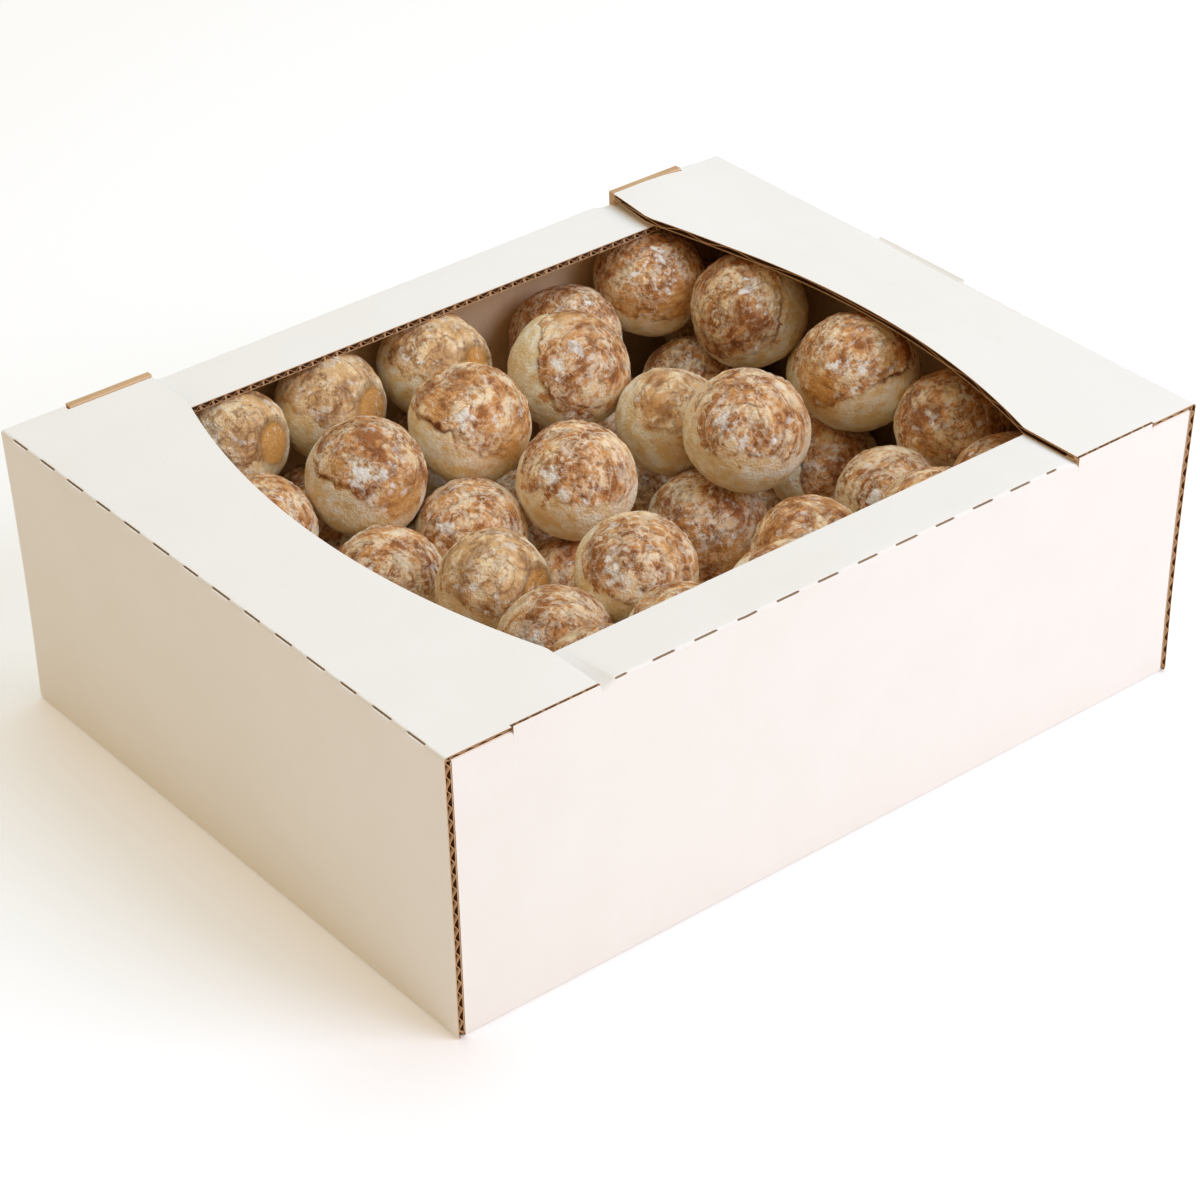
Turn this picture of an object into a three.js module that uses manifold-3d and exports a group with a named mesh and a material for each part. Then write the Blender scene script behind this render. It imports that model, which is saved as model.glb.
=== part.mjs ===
// A windowed carton full of gingerbread. The carton is one folded piece of corrugated board: a base, four
// walls, a narrow strip folded in from the front wall and from the back wall, and two wide flaps folded in
// from the side walls, whose curved inner edges frame the window. The gingerbreads that show through the
// window are one solid each. The ones below and beside them are one heap.
//
// Millimetres. The origin is the middle of the base's underside. X runs along the long side, from the left
// wall to the right wall, Y from the front wall to the back wall, and Z up.
import * as THREE from "three";
import { mergeVertices } from "three/addons/utils/BufferGeometryUtils.js";
import Module from "manifold-3d";

const wasm = await Module();
wasm.setup();

// ---------------------------------------------------------------- the carton's driving dimensions
const LENGTH = 380; // outside, along X
const WIDTH = 295; // outside, along Y
const HEIGHT = 132; // outside, to the top of the flaps
const BOARD = 3; // thickness of the corrugated board
const SEAM = 0.3; // air between two layers of board, or between board and what lies against it
const FRONT_STRIP = 31; // how far each strip reaches in from its wall's outer face
const BACK_STRIP = 29.5;
const SLIT = 0.8; // width of the cut beside each tab
const SLIT_DEPTH = 4.5; // how far that cut runs down into the wall
const ARC_STEPS = 18; // chords along a flap's curved edge

// Each flap is measured inwards from its own wall's outer face: its width where it lies on the strips, its
// width in the middle of its curved edge, and where its end edge steps back behind the wall's tab.
const LEFT_FLAP = { side: -1, end: 73, middle: 51, notch: 31.5 };
const RIGHT_FLAP = { side: 1, end: 64, middle: 47, notch: 26 };

// ---------------------------------------------------------------- the gingerbread's driving dimensions
const CROWN_SHARE = 0.885; // height of the crown above the widest ring, and depth of the rounded underside
const FOOT_LATITUDE = -48; // degrees below the widest ring at which the underside is cut flat
const CLEARANCE = 0.4; // air between neighbours
const LUMPINESS = 0.035; // how far the crust dips below a smooth round, as a share of the radius
const SPLIT_DEPTH = 0.045; // the same for the split between crust and pale side
const YIELDING = 0.85; // of a push, the share that the later of two in the list gives way

// The gingerbreads that show: x, y and z of the middle, radius, and how the crown leans, as degrees from
// upright and the compass heading it leans towards (0 is +X, 90 is +Y). The first ones lie on top.
const SHOWN = [
  [-69, 70, 97, 25.5, 35, -100],
  [-13, 72, 101, 26, 30, -105],
  [49, 82, 101, 26.5, 40, -100],
  [3, 20, 91, 25.5, 30, -120],
  [73, -8, 101, 26.5, 35, -115],
  [144, 70, 101, 26.5, 40, -155],
  [142, -1, 101, 26.5, 30, -150],
  [-34, -65, 102, 24.5, 35, -115],
  [132, 7, 56, 24, 30, -110],
  [127, 120, 101, 25, 25, -115],
  [58, 0, 55, 26.5, 35, -95],
  [-38, 40, 72, 24, 30, -125],
  [-76, -26, 94, 23.5, 30, -120],
  [-81, -72, 92, 23.5, 25, -115],
  [-87, 31, 74, 23.5, 25, -115],
  [-51, 120, 103, 24.5, 25, -90],
  [4, 120, 103, 25, 25, -90],
  [-100, 121, 104, 23.5, 20, -95],
  [68, 38, 86, 24, 30, -90],
  [78, 120, 92, 25, 25, -140],
  [152, -49, 92, 24, 25, -125],
  [-70, 106, 63, 23.5, 25, -140],
  [-115, 80, 87, 23.5, 20, -95],
  [107, -62, 78, 23.5, 20, -110],
  [45, -79, 86, 23.5, 25, -140],
  [128, 90, 60, 24.5, 20, -110],
  [4, 121, 59, 23.5, 20, -110],
  [-6, 12, 46, 23.5, 25, -115],
  [165, 32, 78, 23.5, 20, -110],
  [163, 121, 72, 24, 20, -110],
  [11, 70, 44, 23.5, 20, -125],
  [77, 61, 36, 23.5, 20, -110],
  [92, 120, 50, 24.5, 20, -125],
  [153, 52, 43, 23.5, 20, -110],
  [164, -38, 53, 23.5, 20, -160],
];

// ---------------------------------------------------------------- the heap's driving dimensions
const VIEWPOINT = new THREE.Vector3(-763, -959, 854); // where the gingerbreads that show are seen from

// Whole gingerbreads come first, as high as they fit, and then the ones that stand half out of the core
// between them. hides is how many seen points one may hide, and bite how far two may press together.
const HEAP_PASSES = [
  { tries: 2000, highest: 125, bite: 3, hides: 1 },
  { tries: 600, highest: 44, bite: 16, hides: 4 },
];
const HEAP_SMALLEST = 23.5; // radii
const HEAP_LARGEST = 25.5;
const HEAP_LEAN = 28; // degrees from upright, at most
const HEAP_STEP = 3; // how far a gingerbread is lowered between tries
const HEAP_LOWEST = 16; // lowest middle
const SIGHT_RINGS = [0.3, 0.65, 0.95]; // rings of the points that are looked at, as shares of the radius
const SIGHT_TURNS = 12; // points in a ring
const CORE_TOP = 26; // the heap is solid up to here
const STEM_SHARE = 0.62; // radius of the stem under each of the heap's gingerbreads, as a share of its own
const FUSE = 0.8; // growth that joins the heap's gingerbreads where they all but touch

const INSIDE_X = LENGTH / 2 - BOARD - SEAM;
const INSIDE_Y = WIDTH / 2 - BOARD - SEAM;
const LAYER = HEIGHT - BOARD - SEAM; // top of the strips, one layer of board below the flaps' top
const CEILING = LAYER - BOARD - SEAM; // nothing in the carton reaches above this
const FLOOR = BOARD + SEAM;

const paperboard = new THREE.MeshStandardMaterial({ color: 0xf3efe8, roughness: 0.85, metalness: 0 });
const baked = new THREE.MeshStandardMaterial({ color: 0xb9804a, roughness: 0.8, metalness: 0 });
const deepBaked = new THREE.MeshStandardMaterial({ color: 0x9a6a3c, roughness: 0.85, metalness: 0 });

// ---------------------------------------------------------------- geometry to solid and back
// A closed geometry as a solid that can be cut and joined.
function solidOf(geometry) {
  const bare = geometry.clone();
  bare.deleteAttribute("normal");
  bare.deleteAttribute("uv");
  const merged = mergeVertices(bare, 1e-4);
  return new wasm.Manifold(
    new wasm.Mesh({
      numProp: 3,
      vertProperties: new Float32Array(merged.attributes.position.array),
      triVerts: new Uint32Array(merged.index.array),
    }),
  );
}

// A solid as a named mesh of the scene graph.
function meshOf(solid, name, material) {
  const { numProp, vertProperties, triVerts } = solid.getMesh();
  const stored = new THREE.InterleavedBuffer(vertProperties, numProp);
  const geometry = new THREE.BufferGeometry();
  geometry.setAttribute("position", new THREE.InterleavedBufferAttribute(stored, 3, 0));
  geometry.setIndex(new THREE.BufferAttribute(triVerts, 1));
  geometry.computeVertexNormals();
  const mesh = new THREE.Mesh(geometry, material);
  mesh.name = name;
  return mesh;
}

// A box between two limits on each axis.
function block([x0, x1], [y0, y1], [z0, z1]) {
  const geometry = new THREE.BoxGeometry(x1 - x0, y1 - y0, z1 - z0);
  geometry.translate((x0 + x1) / 2, (y0 + y1) / 2, (z0 + z1) / 2);
  return solidOf(geometry);
}

function joined(solids) {
  return solids.reduce((whole, solid) => whole.add(solid));
}

// ---------------------------------------------------------------- the carton
const FRONT = -WIDTH / 2;
const BACK = WIDTH / 2;

// The two limits, lowest first, of a stretch of X given as distances in from one side wall's outer face.
function fromSide(side, near, far) {
  return [side * (LENGTH / 2 - near), side * (LENGTH / 2 - far)].sort((a, b) => a - b);
}

// The curved inner edge of a flap: a circle's arc from one strip to the other, through the flap's middle.
function curvedEdge({ side, end, middle }) {
  const from = FRONT + FRONT_STRIP;
  const to = BACK - BACK_STRIP;
  const half = (to - from) / 2;
  const rise = end - middle;
  const radius = (half * half + rise * rise) / (2 * rise);
  const points = [];
  for (let i = 0; i <= ARC_STEPS; i++) {
    const y = from + ((to - from) * i) / ARC_STEPS;
    const offset = y - (from + to) / 2;
    const inward = middle + radius - Math.sqrt(radius * radius - offset * offset);
    points.push([side * (LENGTH / 2 - inward), y]);
  }
  return points;
}

// A flap seen from above. Its ends lie over the walls from the corner to the notch, and behind the walls'
// tabs from there on.
function flap(sizes) {
  const { side, end, notch } = sizes;
  const x = (inward) => side * (LENGTH / 2 - inward);
  const behind = BOARD + SEAM;
  const points = [
    [x(0), FRONT],
    [x(notch), FRONT],
    [x(notch), FRONT + behind],
    [x(end), FRONT + behind],
    ...curvedEdge(sizes),
    [x(end), BACK - behind],
    [x(notch), BACK - behind],
    [x(notch), BACK],
    [x(0), BACK],
  ];
  const outline = new THREE.Shape(points.map(([px, py]) => new THREE.Vector2(px, py)));
  const geometry = new THREE.ExtrudeGeometry(outline, { depth: BOARD, bevelEnabled: false });
  geometry.translate(0, 0, HEIGHT - BOARD);
  return solidOf(geometry);
}

// The front or the back wall with its strip, and its two tabs, which stand up behind the flaps' notches.
function endWall(outer, inner, stripEdge) {
  const across = [outer, inner].sort((a, b) => a - b);
  const strip = [outer, stripEdge].sort((a, b) => a - b);
  const parts = [
    block([-INSIDE_X, INSIDE_X], across, [0, LAYER]),
    block([-INSIDE_X, INSIDE_X], strip, [LAYER - BOARD, LAYER]),
  ];
  const slits = [];
  for (const { side, end, notch } of [LEFT_FLAP, RIGHT_FLAP]) {
    parts.push(block(fromSide(side, notch + SLIT, end), across, [LAYER - BOARD, HEIGHT]));
    slits.push(block(fromSide(side, notch, notch + SLIT), across, [LAYER - SLIT_DEPTH, HEIGHT]));
  }
  return joined(parts).subtract(joined(slits));
}

function carton() {
  const acrossWidth = [FRONT, BACK];
  const parts = [
    block([-LENGTH / 2, LENGTH / 2], acrossWidth, [0, BOARD]),
    block(fromSide(-1, 0, BOARD), acrossWidth, [0, HEIGHT]),
    block(fromSide(1, 0, BOARD), acrossWidth, [0, HEIGHT]),
    endWall(FRONT, FRONT + BOARD, FRONT + FRONT_STRIP),
    endWall(BACK, BACK - BOARD, BACK - BACK_STRIP),
    flap(LEFT_FLAP),
    flap(RIGHT_FLAP),
  ];
  return meshOf(joined(parts), "carton", paperboard);
}

// ---------------------------------------------------------------- one gingerbread
const degrees = Math.PI / 180;
const UP = new THREE.Vector3(0, 0, 1);

function gingerbread(x, y, z, radius, lean, heading) {
  const crown = new THREE.Vector3(
    Math.sin(lean * degrees) * Math.cos(heading * degrees),
    Math.sin(lean * degrees) * Math.sin(heading * degrees),
    Math.cos(lean * degrees),
  );
  return { middle: new THREE.Vector3(x, y, z), radius, crown };
}

// How far a gingerbread reaches from its middle in a direction: the reach of a round body that is flatter
// along its crown than across it.
function reach({ radius, crown }, direction) {
  const along = crown.dot(direction);
  return radius * Math.sqrt(1 - along * along * (1 - CROWN_SHARE * CROWN_SHARE));
}

// The gap between two gingerbreads along the line of their middles, which is negative where they overlap.
function gapBetween(one, other) {
  const line = other.middle.clone().sub(one.middle);
  const distance = line.length();
  line.divideScalar(distance);
  return { line, gap: distance - reach(one, line) - reach(other, line) - CLEARANCE };
}

// A round body turned from a profile, flat below, with its crown along +Z. grow makes it larger all over.
function roundBody(radius, sides, rings, grow) {
  const outer = radius + grow;
  const profile = [new THREE.Vector2(0, outer * CROWN_SHARE * Math.sin(FOOT_LATITUDE * degrees))];
  for (let i = 0; i < rings; i++) {
    const latitude = (FOOT_LATITUDE + ((90 - FOOT_LATITUDE) * i) / rings) * degrees;
    profile.push(new THREE.Vector2(outer * Math.cos(latitude), outer * CROWN_SHARE * Math.sin(latitude)));
  }
  profile.push(new THREE.Vector2(0, outer * CROWN_SHARE));
  return new THREE.LatheGeometry(profile, sides).rotateX(Math.PI / 2);
}

// The crust's relief. It only dips inwards, so the body stays within its smooth round: broad lumps all
// over, and a split that runs round one side, where the crust has torn from the pale side.
function crustRelief(geometry, seed) {
  const position = geometry.getAttribute("position");
  const point = new THREE.Vector3();
  for (let i = 0; i < position.count; i++) {
    point.fromBufferAttribute(position, i);
    const size = point.length();
    const { x, y, z } = point.clone().divideScalar(size);
    const lumps = 0.5 + 0.25 * Math.sin(5 * x + 3 * z + seed) + 0.25 * Math.sin(6 * y - 4 * x + 2 * seed);
    const side = 0.5 + 0.5 * Math.sin(Math.atan2(y, x) + seed);
    const split = side * Math.exp(-((z / 0.22) ** 2));
    point.multiplyScalar(1 - LUMPINESS * lumps - SPLIT_DEPTH * split);
    position.setXYZ(i, point.x, point.y, point.z);
  }
  return geometry;
}

const SHOWN_SIDES = 14;
const SHOWN_RINGS = 6;

function gingerbreadMesh(piece, index) {
  const geometry = crustRelief(roundBody(piece.radius, SHOWN_SIDES, SHOWN_RINGS, 0), index + 1);
  const name = "gingerbread_" + String(index + 1).padStart(2, "0");
  const mesh = meshOf(solidOf(geometry), name, baked);
  mesh.position.copy(piece.middle);
  mesh.quaternion.setFromUnitVectors(UP, piece.crown);
  return mesh;
}

// ---------------------------------------------------------------- settling
const SETTLE_ROUNDS = 500;
const DAMPING = 0.5; // share of the push that a round applies, so that pieces between two others come to rest
const WALLS = [
  [new THREE.Vector3(1, 0, 0), INSIDE_X],
  [new THREE.Vector3(-1, 0, 0), INSIDE_X],
  [new THREE.Vector3(0, 1, 0), INSIDE_Y],
  [new THREE.Vector3(0, -1, 0), INSIDE_Y],
  [new THREE.Vector3(0, 0, 1), CEILING],
  [new THREE.Vector3(0, 0, -1), -FLOOR],
];

// Moves the gingerbreads apart until none touches another or the carton. Each round works out all the
// pushes before it moves anything.
function settle(pieces) {
  for (let round = 0; round < SETTLE_ROUNDS; round++) {
    const pushes = pieces.map(() => new THREE.Vector3());
    pieces.forEach((piece, j) => {
      for (let i = 0; i < j; i++) {
        const { line, gap } = gapBetween(pieces[i], piece);
        if (gap >= 0) continue;
        pushes[i].addScaledVector(line, gap * (1 - YIELDING));
        pushes[j].addScaledVector(line, -gap * YIELDING);
      }
    });
    pieces.forEach((piece, j) => {
      piece.middle.addScaledVector(pushes[j], DAMPING);
      for (const [outward, limit] of WALLS) {
        const past = piece.middle.dot(outward) + reach(piece, outward) - limit;
        if (past > 0) piece.middle.addScaledVector(outward, -past);
      }
    });
  }
  return pieces;
}

// ---------------------------------------------------------------- the heap
const WINDOW_X = [LEFT_FLAP.middle - LENGTH / 2, LENGTH / 2 - RIGHT_FLAP.middle];
const WINDOW_Y = [FRONT + FRONT_STRIP, BACK - BACK_STRIP];

// Whether a point is seen through the window from the viewpoint.
function inWindow(point) {
  const sight = VIEWPOINT.clone().sub(point);
  const crossing = point.clone().addScaledVector(sight, (HEIGHT - point.z) / sight.z);
  const within = (value, [low, high]) => value > low && value < high;
  return within(crossing.x, WINDOW_X) && within(crossing.y, WINDOW_Y);
}

// Whether a gingerbread stands before a point, as seen from the viewpoint.
function covers(piece, point) {
  const sight = VIEWPOINT.clone().sub(point).normalize();
  const offset = piece.middle.clone().sub(point);
  const nearer = offset.dot(sight);
  return nearer > 0 && offset.lengthSq() - nearer * nearer < piece.radius * piece.radius;
}

// Points spread over the faces that the shown gingerbreads turn to the viewpoint, without those that the
// carton or another of them covers.
function seenPoints(shown) {
  const points = [];
  for (const piece of shown) {
    const sight = VIEWPOINT.clone().sub(piece.middle).normalize();
    const across = new THREE.Vector3().crossVectors(UP, sight).normalize();
    for (const share of SIGHT_RINGS) {
      for (let turn = 0; turn < SIGHT_TURNS; turn++) {
        const spoke = across.clone().applyAxisAngle(sight, (2 * Math.PI * turn) / SIGHT_TURNS);
        const point = piece.middle.clone().addScaledVector(spoke, share * piece.radius);
        const covered = shown.some((other) => other !== piece && covers(other, point));
        if (!covered && inWindow(point)) points.push(point);
      }
    }
  }
  return points;
}

const fraction = (value) => value - Math.floor(value);

// The heap's gingerbreads. Places are tried one after another, spread evenly over the base by two
// irrational steps, and at each the gingerbread is lowered until it fits and hides nothing that shows.
function heapPieces(shown) {
  const points = seenPoints(shown);
  const hiddenBy = (piece) => points.filter((point) => covers(piece, point)).length;
  const found = [];
  for (const { tries, highest, bite, hides } of HEAP_PASSES) {
    for (let draw = 1; draw <= tries; draw++) {
      const radius = HEAP_SMALLEST + (HEAP_LARGEST - HEAP_SMALLEST) * fraction(draw * 0.618034);
      const x = (2 * fraction(draw * 0.754878) - 1) * (INSIDE_X - radius);
      const y = (2 * fraction(draw * 0.56984) - 1) * (INSIDE_Y - radius);
      const lean = HEAP_LEAN * fraction(draw * 0.381966);
      const piece = gingerbread(x, y, 0, radius, lean, 360 * fraction(draw * 0.236068));
      const fits = () =>
        shown.every((other) => gapBetween(piece, other).gap >= 0) &&
        found.every((other) => gapBetween(piece, other).gap >= -bite);
      for (let z = Math.min(highest, CEILING - reach(piece, UP)); z > HEAP_LOWEST; z -= HEAP_STEP) {
        piece.middle.z = z;
        if (fits() && hiddenBy(piece) <= hides) {
          found.push(piece);
          break;
        }
      }
    }
  }
  return found;
}

const HEAP_SIDES = 7;
const HEAP_RINGS = 3;
const CUP_SIDES = 9;
const CUP_RINGS = 4;

// A round body as a solid in its place.
function placed(piece, sides, rings, grow) {
  const geometry = roundBody(piece.radius, sides, rings, grow);
  geometry.applyQuaternion(new THREE.Quaternion().setFromUnitVectors(UP, piece.crown));
  geometry.translate(...piece.middle.toArray());
  return solidOf(geometry);
}

// An upright round stem from the floor to a gingerbread's middle.
function stem({ middle, radius }) {
  const height = middle.z - FLOOR;
  const geometry = new THREE.CylinderGeometry(radius * STEM_SHARE, radius * STEM_SHARE, height, HEAP_SIDES);
  geometry.rotateX(Math.PI / 2);
  geometry.translate(middle.x, middle.y, FLOOR + height / 2);
  return solidOf(geometry);
}

// The heap as one solid: a core on the carton's base with its gingerbreads fused on, hollowed under each
// shown one by the cup that it lies in. Scraps that the cups cut loose are dropped.
function heap(shown) {
  const inside = block([-INSIDE_X, INSIDE_X], [-INSIDE_Y, INSIDE_Y], [FLOOR, CEILING]);
  const core = block([-INSIDE_X, INSIDE_X], [-INSIDE_Y, INSIDE_Y], [FLOOR, CORE_TOP]);
  const pieces = heapPieces(shown);
  const bodies = pieces.flatMap((piece) => [placed(piece, HEAP_SIDES, HEAP_RINGS, FUSE), stem(piece)]);
  const cupGrowth = (radius) => (radius + CLEARANCE) / Math.cos(Math.PI / CUP_SIDES) - radius;
  const cups = shown.map((piece) => placed(piece, CUP_SIDES, CUP_RINGS, cupGrowth(piece.radius)));
  const cut = joined([core, ...bodies]).intersect(inside).subtract(joined(cups));
  const whole = cut.decompose().sort((a, b) => b.volume() - a.volume())[0];
  return meshOf(whole, "heap", deepBaked);
}

// ---------------------------------------------------------------- the whole
const shown = settle(SHOWN.map((row) => gingerbread(...row)));

const boxOfGingerbread = new THREE.Group();
boxOfGingerbread.name = "box_of_gingerbread";
boxOfGingerbread.add(carton(), heap(shown), ...shown.map(gingerbreadMesh));

export default boxOfGingerbread;
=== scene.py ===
"""A windowed carton of gingerbread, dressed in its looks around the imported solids.

The carton is one folded blank of corrugated board, and the gingerbreads lie in it in a loose heap. Every piece
is a surface worked out with numpy in the frame's own metres, with the origin in the middle of the carton's
underside, X along the long side and Z up.
"""

import functools
import itertools
import logging
import math
from collections.abc import Iterator
from dataclasses import dataclass, field
from enum import Enum

import bpy
import numpy as np
from mathutils import Matrix


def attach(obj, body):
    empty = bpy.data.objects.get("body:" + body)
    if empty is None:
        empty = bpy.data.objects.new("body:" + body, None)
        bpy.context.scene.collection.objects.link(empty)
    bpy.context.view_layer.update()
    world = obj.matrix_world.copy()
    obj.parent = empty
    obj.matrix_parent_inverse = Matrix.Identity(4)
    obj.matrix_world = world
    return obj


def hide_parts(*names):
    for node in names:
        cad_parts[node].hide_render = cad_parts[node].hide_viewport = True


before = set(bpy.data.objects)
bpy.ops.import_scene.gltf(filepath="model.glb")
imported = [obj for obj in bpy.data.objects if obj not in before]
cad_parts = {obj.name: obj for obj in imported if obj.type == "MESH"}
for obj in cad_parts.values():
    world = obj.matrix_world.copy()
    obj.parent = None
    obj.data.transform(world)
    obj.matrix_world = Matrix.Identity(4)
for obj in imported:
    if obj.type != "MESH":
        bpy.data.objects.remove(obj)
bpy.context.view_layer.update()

logging.basicConfig(level=logging.INFO, format="%(name)s: %(message)s")
log = logging.getLogger("gingerbread_box")

MM = 0.001
HAIR = 0.25 * MM  # the gap between two lines of a mesh where something begins
DIAGONAL = 0.7  # how far a move along a fold's diagonal leads along either axis

# The hash behind the noise
HASH_FACTORS = (73856093, 19349663, 83492791)
HASH_SPREAD = 1274126177
HASH_SEED = 40503
HASH_AXIS = 7919
HASH_START = 977
LOW_31_BITS = 0x7FFFFFFF
LOW_16_BITS = 0xFFFF

# The photo's camera, fitted to the carton's corners
CAMERA_PLACE = (-0.80105, -1.00611, 0.88548)
CAMERA_RIGHT = (0.776449, -0.629993, -0.015354)
CAMERA_UP = (0.355391, 0.417629, 0.836231)
CAMERA_LENS = 109.45
SENSOR_WIDTH = 36.0
CARTON_MIDDLE = (0.0, 0.0, 0.07)


# ------------------------------------------------------------------------------------------ small tools
def unit(vectors: np.ndarray) -> np.ndarray:
    """Scales each vector, along the last axis, to length one."""
    return vectors / np.linalg.norm(vectors, axis=-1, keepdims=True)


def smooth_step(values: np.ndarray, low: float, high: float) -> np.ndarray:
    """Rises from 0 at low to 1 at high along 3t^2 - 2t^3, where t is the share of the way."""
    share = np.clip((values - low) / (high - low), 0.0, 1.0)
    return share * share * (3.0 - 2.0 * share)


def bell(values: np.ndarray, width: float) -> np.ndarray:
    """One at zero, falling off on both sides as e to the minus (value / width) squared."""
    return np.exp(-((values / width) ** 2))


def cell_chance(cells: np.ndarray, salt: int, folded: bool) -> np.ndarray:
    """A value from 0 to 1 for each cell, by a hash of its three whole coordinates and a salt.

    Args:
        cells: whole coordinates, shape (..., 3).
        salt: chooses the pattern.
        folded: whether the key's high digits are folded into its low ones before it is spread.

    Returns:
        One value a cell.
    """
    key = functools.reduce(np.bitwise_xor, (cells[..., k] * HASH_FACTORS[k] for k in range(3))) ^ salt
    key = (key ^ (key >> 13) if folded else key) * HASH_SPREAD & LOW_31_BITS
    return ((key ^ (key >> 15)) & LOW_16_BITS) / LOW_16_BITS


def lattice_noise(points: np.ndarray, seed: int) -> np.ndarray:
    """Smooth random values from -1 to 1.

    Each corner of a unit lattice holds a random value. Between corners the value is blended with the quintic
    6t^5 - 15t^4 + 10t^3 along each axis.

    Args:
        points: places, shape (..., 3), in cells.
        seed: chooses the pattern.

    Returns:
        One value a place.
    """
    cell = np.floor(points).astype(np.int64)
    part = points - cell
    ease = part**3 * (part * (part * 6.0 - 15.0) + 10.0)
    total = np.zeros(points.shape[:-1])
    for corner in itertools.product((0, 1), repeat=3):
        value = 2.0 * cell_chance(cell + np.array(corner), seed * HASH_SEED + HASH_START, True) - 1.0
        total += value * np.prod(np.where(np.array(corner) == 1, ease, 1.0 - ease), axis=-1)
    return total


def layered_noise(points: np.ndarray, seed: int, layers: int) -> np.ndarray:
    """Adds lattice noise in layers, each twice as fine and half as strong as the one before.

    Args:
        points: places, shape (..., 3), in cells of the first layer.
        seed: chooses the pattern.
        layers: how many are added.

    Returns:
        One value a place, from about -1 to 1.
    """
    total = sum(lattice_noise(points * 2.0**k, seed + k) * 0.5**k for k in range(layers))
    return total / (2.0 - 0.5 ** (layers - 1))


def crack_distance(points: np.ndarray, seed: int) -> np.ndarray:
    """How far each place is from the nearest border between the cells of a random honeycomb.

    Each cell of the unit lattice holds one random point. The value is the distance to the second nearest such
    point less the distance to the nearest one, which is zero on a border.

    Args:
        points: places, shape (..., 3), in cells.
        seed: chooses the pattern.

    Returns:
        One value a place, in cells.
    """
    cell = np.floor(points).astype(np.int64)
    nearest = second = np.full(points.shape[:-1], math.inf)
    for step in itertools.product((-1, 0, 1), repeat=3):
        at = cell + np.array(step)
        own = [cell_chance(at, seed * HASH_SEED + axis * HASH_AXIS, False) for axis in range(3)]
        distance = np.linalg.norm(points - (at + np.stack(own, -1)), axis=-1)
        second = np.minimum(second, np.maximum(distance, nearest))
        nearest = np.minimum(nearest, distance)
    return second - nearest


def grid_cells(index: np.ndarray) -> np.ndarray:
    """The quads between the points of a grid that holds their numbers, as shape (m, 4)."""
    return np.stack([index[:-1, :-1], index[1:, :-1], index[1:, 1:], index[:-1, 1:]], -1).reshape(-1, 4)


def make_mesh(
    name: str, points: np.ndarray, quads: np.ndarray, triangles: np.ndarray = np.zeros((0, 3), int)
) -> bpy.types.Mesh:
    """Puts arrays of points and faces into a new mesh.

    Args:
        name: the mesh's name.
        points: shape (n, 3), in metres.
        quads: shape (m, 4), as indices of points.
        triangles: shape (k, 3).

    Returns:
        The mesh, with smooth faces.
    """
    corners = np.concatenate([quads.ravel(), triangles.ravel()]).astype(np.int32)
    starts = np.concatenate([np.arange(len(quads)) * 4, len(quads) * 4 + np.arange(len(triangles)) * 3])
    mesh = bpy.data.meshes.new(name)
    mesh.vertices.add(len(points))
    mesh.vertices.foreach_set("co", np.ascontiguousarray(points, np.float32).ravel())
    mesh.loops.add(len(corners))
    mesh.loops.foreach_set("vertex_index", corners)
    mesh.polygons.add(len(starts))
    mesh.polygons.foreach_set("loop_start", starts.astype(np.int32))
    mesh.update(calc_edges=True)
    mesh.shade_smooth()
    return mesh


def write_values(mesh: bpy.types.Mesh, values: dict[str, np.ndarray]) -> None:
    """Writes values at a mesh's points, for its material to read.

    Args:
        mesh: the mesh.
        values: by name, three numbers a point or one.
    """
    for name, rows in values.items():
        kind, key = ("FLOAT_VECTOR", "vector") if rows.ndim == 2 else ("FLOAT", "value")
        mesh.attributes.new(name, kind, "POINT").data.foreach_set(key, rows.astype(np.float32).ravel())


def make_piece(mesh: bpy.types.Mesh, slot: str, materials: list[bpy.types.Material], *nodes: str) -> None:
    """Makes a mesh a piece of the object, which rides on the body and stands for some of its nodes.

    Args:
        mesh: the mesh, in the frame's own place.
        slot: not used.
        materials: what the mesh's faces are numbered by.
        nodes: the solids that the piece stands for.
    """
    piece = bpy.data.objects.new(mesh.name, mesh)
    bpy.context.scene.collection.objects.link(piece)
    for material in materials:
        mesh.materials.append(material)
    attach(piece, "root")
    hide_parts(*nodes)
    log.info("%s: %d faces, stands for %s", piece.name, len(mesh.polygons), ", ".join(nodes))


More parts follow.
